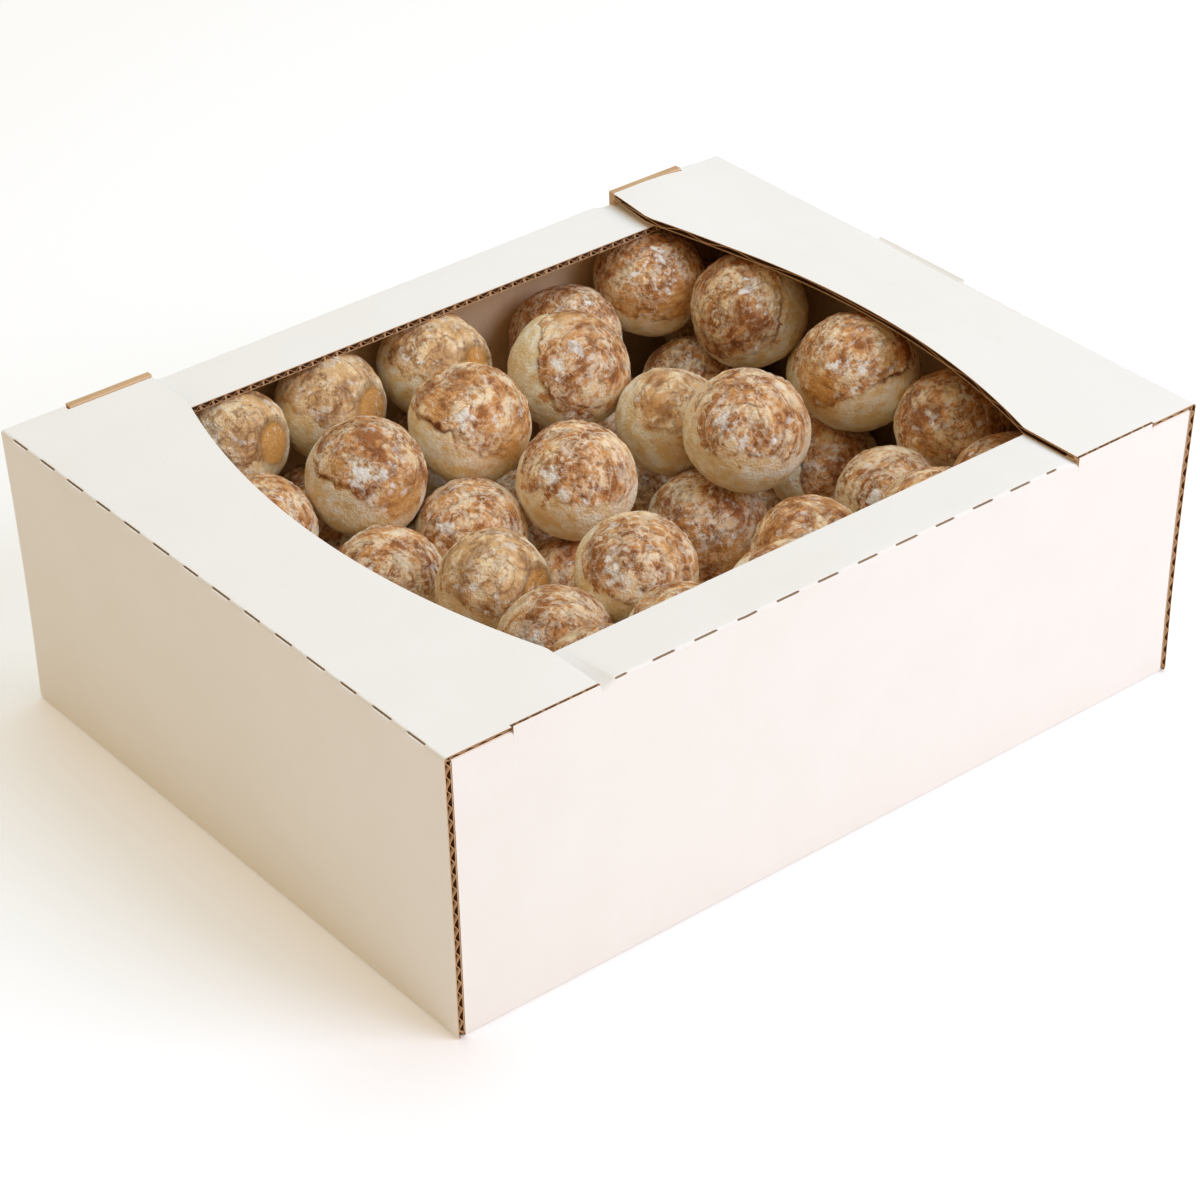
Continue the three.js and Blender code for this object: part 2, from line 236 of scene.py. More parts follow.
# ------------------------------------------------------------------------------------------ shader tools
class Graph:
    """Adds nodes to a material's or a group's tree and links them."""

    def __init__(self, tree: bpy.types.NodeTree) -> None:
        """Keeps the tree."""
        self.tree = tree

    def add(self, kind: str, inputs: dict[str | int, object] | None = None, **settings: object) -> bpy.types.Node:
        """Adds one node.

        Args:
            kind: the node's type.
            inputs: values or sockets for its inputs, by name or place.
            settings: its other settings.

        Returns:
            The node.
        """
        node = self.tree.nodes.new(kind)
        for name, value in settings.items():
            setattr(node, name, value)
        for key, value in (inputs or {}).items():
            if isinstance(value, bpy.types.NodeSocket):
                self.tree.links.new(value, node.inputs[key])
            else:
                node.inputs[key].default_value = value
        return node

    def math(self, operation: str, *values: object, clamp: bool = False) -> bpy.types.NodeSocket:
        """The outcome of a Math node on values or sockets."""
        node = self.add("ShaderNodeMath", dict(enumerate(values)), operation=operation, use_clamp=clamp)
        return node.outputs[0]

    def chain(self, operation: str, values: tuple[object, ...]) -> bpy.types.NodeSocket:
        """The outcome of a Math node on two values, then of another on that and the next one, and so on."""
        return functools.reduce(lambda one, other: self.math(operation, one, other), values)

    def times(self, *values: object) -> bpy.types.NodeSocket:
        """The product of values or sockets."""
        return self.chain("MULTIPLY", values)

    def plus(self, *values: object) -> bpy.types.NodeSocket:
        """The sum of values or sockets."""
        return self.chain("ADD", values)

    def most(self, *values: object) -> bpy.types.NodeSocket:
        """The largest of values or sockets."""
        return self.chain("MAXIMUM", values)

    def less(self, one: object, other: object) -> bpy.types.NodeSocket:
        """One value or socket less another."""
        return self.math("SUBTRACT", one, other)

    def between(self, value: object, low: float, high: float, start: float = 0.0, end: float = 1.0) -> object:
        """Maps a value smoothly from low..high to start..end, and returns the socket."""
        inputs = {"Value": value, "From Min": low, "From Max": high, "To Min": start, "To Max": end}
        return self.add("ShaderNodeMapRange", inputs, interpolation_type="SMOOTHSTEP").outputs["Result"]

    def blend(self, share: object, one: object, other: object, way: str = "MIX") -> bpy.types.NodeSocket:
        """Blends two colours by a share."""
        node = self.add("ShaderNodeMix", {0: share, 6: one, 7: other}, data_type="RGBA", blend_type=way)
        return node.outputs[2]

    def noise(self, vector: object, scale: float, detail: float, roughness: float) -> bpy.types.NodeSocket:
        """The value, about a half, of a Noise Texture."""
        inputs = {"Vector": vector, "Scale": scale, "Detail": detail, "Roughness": roughness}
        return self.add("ShaderNodeTexNoise", inputs).outputs["Fac"]

    def attribute(self, name: str, output: str = "Fac") -> bpy.types.NodeSocket:
        """A value that the mesh holds at each point."""
        return self.add("ShaderNodeAttribute", attribute_name=name).outputs[output]

    def mask(self, group: bpy.types.NodeTree, **inputs: object) -> bpy.types.NodeSocket:
        """The mask that a shared group gives for inputs of its own."""
        return self.add("ShaderNodeGroup", inputs, node_tree=group).outputs["Mask"]


def noise_group(name: str, detail: float, *inputs: str) -> tuple[Graph, dict[str, bpy.types.NodeSocket]]:
    """Starts a shader node group around a Noise Texture, whose inputs of the same name it feeds.

    Args:
        name: the group's name.
        detail: how many layers the noise has.
        inputs: the names of its inputs. The one called Vector is a vector.

    Returns:
        Its graph, and the inputs' sockets by name, with the noise less a half as "Swing".
    """
    tree = bpy.data.node_groups.new(name, "ShaderNodeTree")
    for socket in inputs:
        kind = "NodeSocketVector" if socket == "Vector" else "NodeSocketFloat"
        tree.interface.new_socket(socket, in_out="INPUT", socket_type=kind)
    tree.interface.new_socket("Mask", in_out="OUTPUT", socket_type="NodeSocketFloat")
    graph = Graph(tree)
    given = graph.add("NodeGroupInput")
    noise = graph.add("ShaderNodeTexNoise", {"Detail": detail, "Roughness": 0.55})
    for socket in inputs:
        if socket in noise.inputs:
            tree.links.new(given.outputs[socket], noise.inputs[socket])
    return graph, {s: given.outputs[s] for s in inputs} | {"Swing": graph.less(noise.outputs["Fac"], 0.5)}


def close_group(graph: Graph, mask: bpy.types.NodeSocket) -> bpy.types.NodeTree:
    """Gives a group its mask as its output, and returns it."""
    graph.add("NodeGroupOutput", {"Mask": mask})
    return graph.tree


def veins_group() -> bpy.types.NodeTree:
    """Thin wandering lines, where a noise crosses its middle value. Used for sugar glaze and for cracks."""
    graph, given = noise_group("wandering_veins", 2.5, "Vector", "Scale", "Distortion", "Width")
    away = graph.math("DIVIDE", graph.math("ABSOLUTE", given["Swing"]), given["Width"])
    return close_group(graph, graph.math("SUBTRACT", 1.0, away, clamp=True))


def mottle_group() -> bpy.types.NodeTree:
    """Soft uneven patches between zero and one, about a half. Used for bread and for paper."""
    graph, given = noise_group("mottle", 4.0, "Vector", "Scale", "Contrast")
    swing = graph.times(given["Swing"], given["Contrast"])
    return close_group(graph, graph.math("ADD", swing, 0.5, clamp=True))


@dataclass(frozen=True)
class Groups:
    """The shader groups that the materials share."""

    veins: bpy.types.NodeTree
    mottle: bpy.types.NodeTree


Colour = tuple[float, float, float, float]


def srgb(red: int, green: int, blue: int) -> Colour:
    """A colour given as it looks on screen, as the linear light that shaders take.

    A low value is divided by 12.92, and any other is raised to the power 2.4 after an offset.

    Args:
        red: 0 to 255.
        green: 0 to 255.
        blue: 0 to 255.

    Returns:
        Red, green, blue and one, each 0 to 1.
    """
    parts = [c / 255.0 for c in (red, green, blue)]
    linear = [c / 12.92 if c <= 0.04045 else ((c + 0.055) / 1.055) ** 2.4 for c in parts]
    return (*linear, 1.0)


def new_material(name: str) -> tuple[bpy.types.Material, Graph, bpy.types.Node]:
    """A new material, its graph and its Principled shader."""
    made = bpy.data.materials.new(name)
    made.use_nodes = True
    return made, Graph(made.node_tree), made.node_tree.nodes["Principled BSDF"]


# ------------------------------------------------------------------------------------------ board finishes
@dataclass(frozen=True)
class BoardFinish:
    """A face of corrugated board.

    Attributes:
        name: the material's name.
        light: the paper's lighter colour.
        dark: its darker colour.
        unevenness: how far the darker one comes through.
        flute_show: how far the flutes stand out.
        fibre: how far its fibres do.
    """

    name: str
    light: Colour
    dark: Colour
    unevenness: float
    flute_show: float
    fibre: float

    def material(self, groups: Groups) -> bpy.types.Material:
        """Builds the material.

        Args:
            groups: the shared shader groups.

        Returns:
            The material, with cloudy paper, fine fibres and faint ridges along Y at the flutes' pitch.
        """
        made, graph, shader = new_material(self.name)
        place = graph.add("ShaderNodeTexCoord").outputs["Object"]
        cloud = graph.mask(groups.mottle, Vector=place, Scale=28.0, Contrast=1.6)
        speck = graph.mask(groups.mottle, Vector=place, Scale=900.0, Contrast=1.8)
        share = graph.times(graph.plus(graph.times(cloud, 0.65), graph.times(speck, 0.35)), self.unevenness)
        made.node_tree.links.new(graph.blend(share, self.light, self.dark), shader.inputs["Base Color"])
        along_x = graph.add("ShaderNodeSeparateXYZ", {0: place}).outputs["X"]
        flute = graph.math("SINE", graph.times(along_x, 2.0 * math.pi / Board.pitch))
        height = graph.plus(graph.times(speck, self.fibre), graph.times(flute, self.flute_show))
        bump = graph.add("ShaderNodeBump", {"Height": height, "Strength": 0.35, "Distance": 0.0002})
        made.node_tree.links.new(bump.outputs["Normal"], shader.inputs["Normal"])
        shader.inputs["Roughness"].default_value = 0.86
        shader.inputs["Specular IOR Level"].default_value = 0.25
        return made


@dataclass(frozen=True)
class Board:
    """Corrugated board, in metres.

    Attributes:
        thickness: of the whole.
        liner: thickness of the paper on either face.
        pitch: length of one of the wave's periods.
        medium: thickness of the wave's paper.
        groove: how deep the groove between the liners reaches in from an open edge.
        slack: how far the wave stays inside the edge. It stays half as far off the groove's floor.
        crushed: how deep a crushed edge's groove is, as a share of a whole one.
        shut: the same for a dashed edge's shallow stretches.
        shaded: from what depth on a groove its faces take painted shade, as a share of a whole one.
        pressed: from what share of a cut's depth on the paper shows the cut.
    """

    thickness: float = 3.0 * MM
    liner: float = 0.4 * MM
    pitch: float = 6.3 * MM
    medium: float = 0.42 * MM
    groove: float = 6.0 * MM
    slack: float = 0.1 * MM
    crushed: float = 0.25
    shut: float = 0.1
    shaded: float = 0.2
    pressed: float = 0.3


class Face(Enum):
    """The materials of a sheet of board, in the order of its material slots."""

    WHITE = 0
    # the inner liner: kraft brown, painted lighter than bare kraft as painted light against the shade inside the
    # carton
    KRAFT = 1
    CUT = 2
    SLIT = 3
    # painted shade: a dark brown on deep groove faces and the paper wave's sides, standing in for the shade
    # inside the flutes
    PAINTED_SHADE = 4


@dataclass
class Sheet:
    """A sheet of board as two grids of points, its outer and its inner face, and what its four edges show.

    Attributes:
        outer: shape (s, u, 3).
        inner: the same shape, one board's thickness away.
        fluted: which edges show open flutes, of "s0", "s1", "u0" and "u1".
        lengthwise: those whose wave follows X.
        dashed: those that are crushed shut where the wave is near the outer face.
        crushed: those that are crushed nearly shut all along.
        slit: how far each outer point is pressed into a perforation's cut, as a share, or None.
    """

    outer: np.ndarray
    inner: np.ndarray
    fluted: tuple[str, ...] = ()
    lengthwise: tuple[str, ...] = ()
    dashed: tuple[str, ...] = ()
    crushed: tuple[str, ...] = ()
    slit: np.ndarray | None = None
    board: Board = field(default_factory=Board)

    def line(self, edge: str, step: int) -> tuple[int | slice, int | slice]:
        """The grid's places along a line beside an edge, in an order that goes round the sheet from outside.

        Args:
            edge: the edge's name.
            step: how many steps in from the edge the line is.

        Returns:
            Its row and its column, one of them a slice.
        """
        back = slice(None, None, -1)
        return {
            "u0": (slice(None), step),
            "s1": (-1 - step, slice(None)),
            "u1": (back, -1 - step),
            "s0": (step, back),
        }[edge]

    def inward(self, edge: str) -> np.ndarray:
        """The directions, of length one, that lead from an edge into the sheet at its points."""
        middle = (self.outer + self.inner) / 2.0
        return unit(middle[self.line(edge, 1)] - middle[self.line(edge, 0)])

    def depth(self, edge: str) -> np.ndarray:
        """How deep an edge's groove is at its points.

        Args:
            edge: the edge's name.

        Returns:
            Depths. On a dashed edge they rise and fall smoothly with the sine that the paper wave follows.
        """
        outer = self.outer[self.line(edge, 0)]
        if edge in self.dashed:
            wave = np.sin(2.0 * math.pi * outer[:, 0] / self.board.pitch)
            return self.board.groove * (self.board.shut + (1.0 - self.board.shut) * smooth_step(wave, -0.5, 0.3))
        return np.full(len(outer), self.board.groove * (self.board.crushed if edge in self.crushed else 1.0))

    def mesh(self, name: str) -> bpy.types.Mesh:
        """The sheet as one closed mesh.

        An edge is a ladder of quads from the outer face to the inner one. On a fluted edge it steps down
        between the two liners into a groove, and each end of the groove is closed by one many-sided face. Where
        the groove is deep, its walls and floor take painted shade.

        Args:
            name: the mesh's name.

        Returns:
            The mesh, with its faces numbered by Face.
        """
        rows, columns = self.outer.shape[:2]
        count = rows * columns
        points = [self.outer.reshape(-1, 3), self.inner.reshape(-1, 3)]
        grid = np.arange(count).reshape(rows, columns)
        cells = grid_cells(grid)
        faces = [cells.tolist(), (cells[:, ::-1] + count).tolist()]
        slit = np.zeros(count) if self.slit is None else self.slit.ravel()
        pressed = slit[cells].mean(1) > self.board.pressed
        kinds = [Face.SLIT if cut else Face.WHITE for cut in pressed] + [Face.KRAFT] * len(cells)
        share = self.board.liner / self.board.thickness
        total = 2 * count
        for edge in ("u0", "s1", "u1", "s0"):
            outer, inner, index = (grids[self.line(edge, 0)] for grids in (self.outer, self.inner, grid))
            lines = [index, index + count]
            painted_shade = np.full(len(index) - 1, False)
            if edge in self.fluted:
                depth = self.depth(edge)
                painted_shade = (depth[1:] + depth[:-1]) / 2.0 > self.board.shaded * self.board.groove
                into = self.inward(edge) * depth[:, None]
                lips = [outer + (inner - outer) * share, inner + (outer - inner) * share]
                points += [lips[0], lips[0] + into, lips[1] + into, lips[1]]
                added = [total + k * len(index) + np.arange(len(index)) for k in range(4)]
                total += 4 * len(index)
                lines = [index, *added, index + count]
                faces.append([[int(line[0]) for line in lines], [int(line[-1]) for line in lines[::-1]]])
                kinds += [Face.CUT] * 2
            for step, (upper, lower) in enumerate(zip(lines[:-1], lines[1:])):
                ladder = np.stack([upper[1:], upper[:-1], lower[:-1], lower[1:]], -1)
                faces.append(ladder.tolist())
                # the deep steps of a groove take painted shade, standing in for the shade inside the flutes; the
                # rest takes the cut's colour
                kinds += [Face.PAINTED_SHADE if deep else Face.CUT for deep in painted_shade & (0 < step < 4)]
        mesh = bpy.data.meshes.new(name)
        mesh.from_pydata(np.concatenate(points).tolist(), [], list(itertools.chain(*faces)))
        mesh.polygons.foreach_set("material_index", [kind.value for kind in kinds])
        mesh.update(calc_edges=True)
        mesh.set_sharp_from_angle(angle=math.radians(40.0))
        return mesh

    def flutes(self, edge: str) -> tuple[np.ndarray, np.ndarray]:
        """The paper wave between the liners along a fluted edge, as a thin closed ribbon.

        The wave's middle is the board's middle plus a sine of the distance along the edge, and the ribbon
        reaches from just inside the edge to the groove's floor.

        Args:
            edge: the edge's name.

        Returns:
            Points in rows of four and quads, of which the first ones are the ribbon's open edge.
        """
        outer, inner = self.outer[self.line(edge, 0)], self.inner[self.line(edge, 0)]
        run = np.concatenate([[0.0], np.cumsum(np.linalg.norm(np.diff(outer, axis=0), axis=1))])
        steps = max(8, int(run[-1] / self.board.pitch * 10))
        at = np.linspace(0.0, run[-1], steps)

        def along(values: np.ndarray) -> np.ndarray:
            """Values at the edge's points, at even distances along it."""
            return np.stack([np.interp(at, run, values[:, axis]) for axis in range(3)], -1)

        outer, inner, into = along(outer), along(inner), along(self.inward(edge))
        through = unit(inner - outer)
        room = np.linalg.norm(inner - outer, axis=-1) * (0.5 - self.board.liner / self.board.thickness)
        phase = outer[:, 0] if edge in self.lengthwise else at
        wave = (room - self.board.medium / 2.0) * np.sin(2.0 * math.pi * phase / self.board.pitch)
        middle = (outer + inner) / 2.0 + through * wave[:, None]
        half = through * self.board.medium / 2.0
        near, far = into * self.board.slack, into * (self.board.groove - self.board.slack / 2.0)
        ring = np.stack([middle - half + near, middle + half + near, middle + half + far, middle - half + far], 1)
        index = np.arange(steps * 4).reshape(steps, 4)
        after = np.roll(index, -1, axis=1)
        sides = [np.stack([index[:-1, k], index[1:, k], after[1:, k], after[:-1, k]], -1) for k in range(4)]
        ends = np.array([index[0], index[-1][::-1]])
        return ring.reshape(-1, 3), np.concatenate([*sides, ends])


# ------------------------------------------------------------------------------------------ the carton
@dataclass(frozen=True)
class Flap:
    """One flap over a side wall.

    Attributes:
        side: -1 for the left wall, 1 for the right one.
        end: its width from the wall's outer face, over the strips.
        middle: its width midway between them.
        notch: how far from the wall its notches begin.
        lift: how far its back corner is bent up.
        taper: how much narrower it is at that corner.
        tab_lift: how far the back tab behind it stands above the flat board.
    """

    side: int
    end: float
    middle: float
    notch: float
    lift: float
    taper: float
    tab_lift: float


@dataclass(frozen=True)
class Perforation:
    """A row of cuts along a fold: where each one's middle is and how long each one is."""

    middles: np.ndarray
    lengths: np.ndarray

    def ends(self) -> np.ndarray:
        """Places a hair before and after both ends of every cut."""
        ends = np.concatenate([self.middles - self.lengths / 2.0, self.middles + self.lengths / 2.0])
        return np.concatenate([ends - HAIR, ends + HAIR])

    def inside(self, places: np.ndarray) -> np.ndarray:
        """One within a cut and zero outside it, for places along the fold."""
        past = np.abs(places[..., None] - self.middles) - self.lengths / 2.0
        return (past.min(-1) <= 1e-6).astype(float)


@dataclass(frozen=True)
class Cut:
    """The section of a perforation's cut, across the fold.

    Attributes:
        depth: how deep it is pressed in.
        half: half its width.
        rim: how far beside it the paper stands out as a lip, in half widths.
        rim_half: half the lip's width, in half widths.
        rim_show: how clearly a lip shows the cut paper.
        reach: how far from the fold's corner it is felt, in the fold's radii.
    """

    depth: float = 0.7 * MM
    half: float = 0.55 * MM
    rim: float = 2.0
    rim_half: float = 0.6
    rim_show: float = 0.36
    reach: float = 2.2


@dataclass(frozen=True)
class Crease:
    """A faint crease along Y, with its place along X as the sheet measures it."""

    place: float
    depth: float
    half: float

    def dent(self, away: np.ndarray) -> np.ndarray:
        """How far the board is pressed down at distances from the crease."""
        return self.depth * bell(away, self.half)


FLAP_SHARES = (1.0, 0.97, 0.75, 0.5, 0.25, 0.0)  # a flap's lines, as shares of the way from notch to edge
STRIP_SHARES = (0.2, 0.4, 0.6, 0.8, 0.97, 1.0)  # a strip's lines, as shares of the way from fold to edge
END_LINES = np.array([0.3, 0.8, 1.5, 2.5, 4.0, 6.0]) * MM  # the wrap's closer lines, in from either end


@dataclass
class Carton:
    """The folded carton: a wrap of side walls, base and flaps, and two end walls with their strips and tabs.

    Attributes:
        length: outside, along X.
        width: outside, along Y.
        height: outside.
        seam: the gap between pieces of board that lie on each other.
        front_strip: width of the strip over the front.
        back_strip: width of the strip over the back.
        slit: width of the slit between a tab and the flap's notch.
        fold: radius of a fold, on the outer face.
        inner_fold: the same on the inner face.
        fold_steps: points along a fold's quarter circle.
        lines: even lines across the wrap.
        front_lines: even lines across the front wall.
        back_lines: even lines across the back wall, whose edge shows its flutes.
        cut: the perforations' cuts.
        left_lip: how far the paper stands out beside a cut on the left fold.
        right_lip: the same on the right fold.
        crushed: how much thinner the board is at its crushed ends.
        crush_reach: how far from the end that is felt.
        bulge: how far the walls lean out at the top.
        fold_rise: how much higher the front fold is between the tabs.
        back_rises: the same for the back fold, at its left and at its right end.
        rise_run: how far before and past a flap's inner edge a fold's rise begins and is whole.
        beside_notch: how far within a flap's notch an end wall's board is crushed.
        bow: how far a flap sags at its middle.
        bow_share: how far along the flap that is felt, as a share of the width.
        bend_reach: how far from its back end a flap's bent corner begins.
        flap_crease: a crease in the right flap, placed from the right wall.
        strip_crease: a crease in the front strip, placed to the left of the middle.
        base_seam: how far in and how far up an end wall's first inner point lies.
        level: how far off the top or the base a line still counts as flat.
        tab_edge: thickness of a front tab's edge.
        tab_gap: what the flaps' front ends keep from it.
        tab_proud: how far a tab stands before its wall.
        tab_foot: how far down a tab reaches.
        tab_lines: upright lines of a tab.
        left: the left flap.
        right: the right flap.
        board: what the carton is made of.
    """

    length: float = 380.0 * MM
    width: float = 295.0 * MM
    height: float = 132.0 * MM
    seam: float = 0.3 * MM
    front_strip: float = 31.0 * MM
    back_strip: float = 29.5 * MM
    slit: float = 0.8 * MM
    fold: float = 1.5 * MM
    inner_fold: float = 0.3 * MM
    fold_steps: int = 13
    lines: int = 61
    front_lines: int = 77
    back_lines: int = 361
    cut: Cut = Cut()
    left_lip: float = 0.25 * MM
    right_lip: float = 2.0 * MM
    crushed: float = 1.4 * MM
    crush_reach: float = 2.2 * MM
    bulge: float = 2.5 * MM
    fold_rise: float = 3.2 * MM
    back_rises: tuple[float, float] = (-1.0 * MM, 2.1 * MM)
    rise_run: tuple[float, float] = (2.0 * MM, 5.0 * MM)
    beside_notch: float = 3.5 * MM
    bow: float = 0.25 * MM
    bow_share: float = 0.3
    bend_reach: float = 80.0 * MM
    flap_crease: Crease = Crease(25.7 * MM, 0.08 * MM, 1.6 * MM)
    strip_crease: Crease = Crease(49.0 * MM, 0.2 * MM, 1.5 * MM)
    base_seam: tuple[float, float] = (0.2 * MM, 0.3 * MM)
    level: float = 0.1 * MM
    tab_edge: float = 1.3 * MM
    tab_gap: float = 0.1 * MM
    tab_proud: float = 0.03 * MM
    tab_foot: float = 8.0 * MM
    tab_lines: int = 48
    left: Flap = Flap(-1, 70.5 * MM, 51.0 * MM, 30.0 * MM, 0.0, 0.0, 1.0 * MM)
    right: Flap = Flap(1, 66.5 * MM, 47.0 * MM, 24.5 * MM, 3.0 * MM, 2.3 * MM, 2.8 * MM)
    board: Board = field(default_factory=Board)

    def perforations(self) -> dict[str, Perforation]:
        """The rows of cuts on the left, the right and the front fold.

        Returns:
            The rows by fold. The left one runs in even steps from the front, the right one is a single long
            cut, and the front one runs in even steps between two short last cuts. The lengths are a little
            uneven, by a sine of the cut's number.
        """
        front, left_wall = -self.width / 2.0, -self.length / 2.0
        left, ahead = np.arange(14), np.arange(-1, 11)
        along = (100.5 + 20.1 * ahead - 3.0 * (ahead == 10)) * MM
        lengths = np.where((ahead < 0) | (ahead > 9), 5.0, 10.0 + 0.8 * np.sin(2.4 * ahead)) * MM
        return {
            "left": Perforation(front + (17.0 + 20.3 * left) * MM, (10.5 + np.sin(2.4 * left)) * MM),
            "right": Perforation(np.array([front + 161.5 * MM]), np.array([53.0 * MM])),
            "front": Perforation(left_wall + along, lengths),
        }

    def corner(self, flat: tuple[float, float], wall: float, side: int, way: int) -> Iterator[tuple[float, ...]]:
        """The section of a fold, a quarter circle from a flat stretch to an upright one.

        Args:
            flat: heights of the flat stretch's outer and inner face.
            wall: where the upright stretch's outer face is.
            side: -1 or 1, the wall's side.
            way: 1 where the upright stretch is above the flat one, -1 where it is below.

        Yields:
            Place and height on the outer face, and then on the inner one.
        """
        inside = wall - side * self.board.thickness
        for turn in np.linspace(0.0, math.pi / 2.0, self.fold_steps):
            out, up = 1.0 - math.sin(turn), way * (1.0 - math.cos(turn))
            outer = (wall - side * self.fold * out, flat[0] + self.fold * up)
            yield (*outer, inside - side * self.inner_fold * out, flat[1] + self.inner_fold * up)

    def inner_edge(self, flap: Flap, y: np.ndarray) -> np.ndarray:
        """X of a flap's inner edge: a circle's arc from strip to strip, straight over the strips, less the taper.

        Args:
            flap: the flap.
            y: places along the edge.

        Returns:
            X at each of them.
        """
        start, stop = -self.width / 2.0 + self.front_strip, self.width / 2.0 - self.back_strip
        half, rise = (stop - start) / 2.0, flap.end - flap.middle
        radius = (half * half + rise * rise) / (2.0 * rise)
        offset = np.clip(y - (start + stop) / 2.0, -half, half)
        inward = flap.middle + radius - np.sqrt(radius * radius - offset * offset)
        inward = inward - flap.taper * np.clip((y - stop) / self.back_strip, 0.0, 1.0)
        return flap.side * (self.length / 2.0 - inward)

    def flap_columns(self, flap: Flap) -> np.ndarray:
        """Distances from the wall to the columns of a flap's grid up to the notch, the last two a hair apart."""
        return np.array([*np.linspace(self.fold + 1.0 * MM, flap.notch - 0.02 * MM, 9), flap.notch + 0.02 * MM])

    def spread(self, reach: float, count: int, more: list[np.ndarray]) -> np.ndarray:
        """Even places from minus to plus a reach and some more between them, in order and each one once."""
        places = np.concatenate([np.linspace(-reach, reach, count), *more])
        return np.unique(np.round(np.clip(places, -reach, reach), 6))

    def wrap(self) -> Sheet:
        """The side walls, the base and the two flaps as one sheet.

        Its section is a path from the left flap's inner edge over the left fold, down the left wall, along
        the base, up the right wall and to the right flap's inner edge. Each fold is a quarter circle. The
        path is carried along Y, where the flaps' inner edges follow their arcs, and the sheet's ends are set
        back where the walls' tabs and the end walls stand.

        Returns:
            The sheet, with open flutes at both ends.
        """
        rows = self.perforations()
        half, thick = self.width / 2.0, self.board.thickness
        near_end = half - END_LINES
        places = [near_end, -near_end, rows["left"].ends(), rows["right"].ends()]
        y = self.spread(half, self.lines, places)
        behind = thick + self.seam
        grids = [[], []]
        for flap in (self.left, self.right):
            lines = [[], []]

            def add(x: object, z: float, inner_x: object, inner_z: float, front: float, back: float) -> None:
                """Adds a line of the section, carried along Y.

                Args:
                    x: place of its outer point, or that as a function of Y.
                    z: height of its outer point.
                    inner_x: the same for its inner point.
                    inner_z: that point's height.
                    front: how far its front end is set back.
                    back: how far its back end is set back.
                """
                ends = (y + half) / (2.0 * half) * (2.0 * half - front - back) - half + front
                for line, across, height in ((lines[0], x, z), (lines[1], inner_x, inner_z)):
                    across = across(ends) if callable(across) else np.full(len(y), across)
                    line.append(np.stack([across, ends, np.full(len(y), height)], -1))
                if z > self.height - self.level:
                    lift = self.flap_form(flap, lines[1][-1][:, 0], ends)
                    lines[0][-1][:, 2] += lift
                    lines[1][-1][:, 2] += lift

            top, under = self.height, self.height - thick
            wall = flap.side * self.length / 2.0
            inside = wall - flap.side * thick
            columns = self.flap_columns(flap)
            notch = wall - flap.side * columns[-1]
            for share in FLAP_SHARES:

                def across(ends: np.ndarray, share: float = share) -> np.ndarray:
                    """X of the line, a share of the way from the notch to the flap's inner edge."""
                    return notch + (self.inner_edge(flap, ends) - notch) * share

                add(across, top, across, under, self.tab_edge + self.tab_gap, behind)
            for column in columns[-2::-1]:
                x = wall - flap.side * column
                add(x, top, x, under, 0.0, 0.0)
                lines[1][-1][:, 2] += self.crushed * bell(half - np.abs(y), self.crush_reach)
            for x, z, inner_x, inner_z in self.corner((top, under), wall, flap.side, -1):
                add(x, z, inner_x, inner_z, 0.0, 0.0)
            for z in np.linspace(under - 1.0 * MM, thick + 0.5 * MM, 5):
                add(wall, z, inside, z, 0.0, 0.0)
            for x, z, inner_x, _ in reversed([*self.corner((0.0, thick), wall, flap.side, 1)]):
                set_back = behind if z < self.level else 0.0
                add(x, z, inner_x, thick, set_back, set_back)
            add(wall * 0.5, 0.0, wall * 0.5, thick, behind, behind)
            order = slice(None) if flap.side < 0 else slice(None, None, -1)
            for grid, line in zip(grids, lines):
                grid += line[order]
        ends = ("u0", "u1")
        sheet = Sheet(*map(np.array, grids), (*ends, "s0", "s1"), ("s0", "s1"), crushed=ends, board=self.board)
        self.cut_folds(sheet, rows)
        return sheet

    def flap_form(self, flap: Flap, x: np.ndarray, y: np.ndarray) -> np.ndarray:
        """How far a flap's board lies off its flat height.

        It sags a little as a bell along Y, more so towards the wall. The right one has a crease, and a flap's
        back corner may be bent up in smooth steps along and across it.

        Args:
            flap: the flap.
            x: places across it.
            y: places along it.

        Returns:
            The height above the flat one.
        """
        wall = self.length / 2.0
        crease = self.flap_crease.dent(x - (wall - self.flap_crease.place)) if flap.side > 0 else 0.0
        bow = self.bow * bell(y, self.bow_share * self.width) * np.clip(np.abs(x) / wall, 0.0, 1.0)
        inward = wall - flap.side * x
        bent = smooth_step(y, self.width / 2.0 - self.bend_reach, self.width / 2.0)
        bent = bent * smooth_step(inward, 0.3 * flap.notch, 1.8 * flap.notch)
        return flap.lift * bent - crease - bow

    def cut_folds(self, sheet: Sheet, rows: dict[str, Perforation]) -> None:
        """Presses the perforations' cuts into the wrap's two upper folds.

        A cut is a groove along the middle of the fold: within it the outer face moves in along the fold's
        diagonal, deepest on the groove's own line. On the wall's side of it the paper stands out as a lip.

        Args:
            sheet: the wrap, which is changed.
            rows: the rows of cuts.
        """
        sheet.slit = np.zeros(sheet.outer.shape[:2])
        for name, side, lip in (("left", -1, self.left_lip), ("right", 1, self.right_lip)):
            corner = np.array([side * self.length / 2.0, self.height])
            offset = sheet.outer[..., [0, 2]] - corner
            across = offset[..., 0] * -side + offset[..., 1]
            near = np.abs(offset).sum(-1) < self.cut.reach * self.fold
            cut = near * rows[name].inside(sheet.outer[..., 1])
            share = bell(across, self.cut.half) * cut
            rim = bell(across + self.cut.rim * self.cut.half, self.cut.rim_half * self.cut.half) * cut
            press = (share * self.cut.depth - rim * lip) * DIAGONAL
            sheet.outer[..., 0] -= side * press
            sheet.outer[..., 2] -= press
            sheet.slit += share if side < 0 else rim * self.cut.rim_show

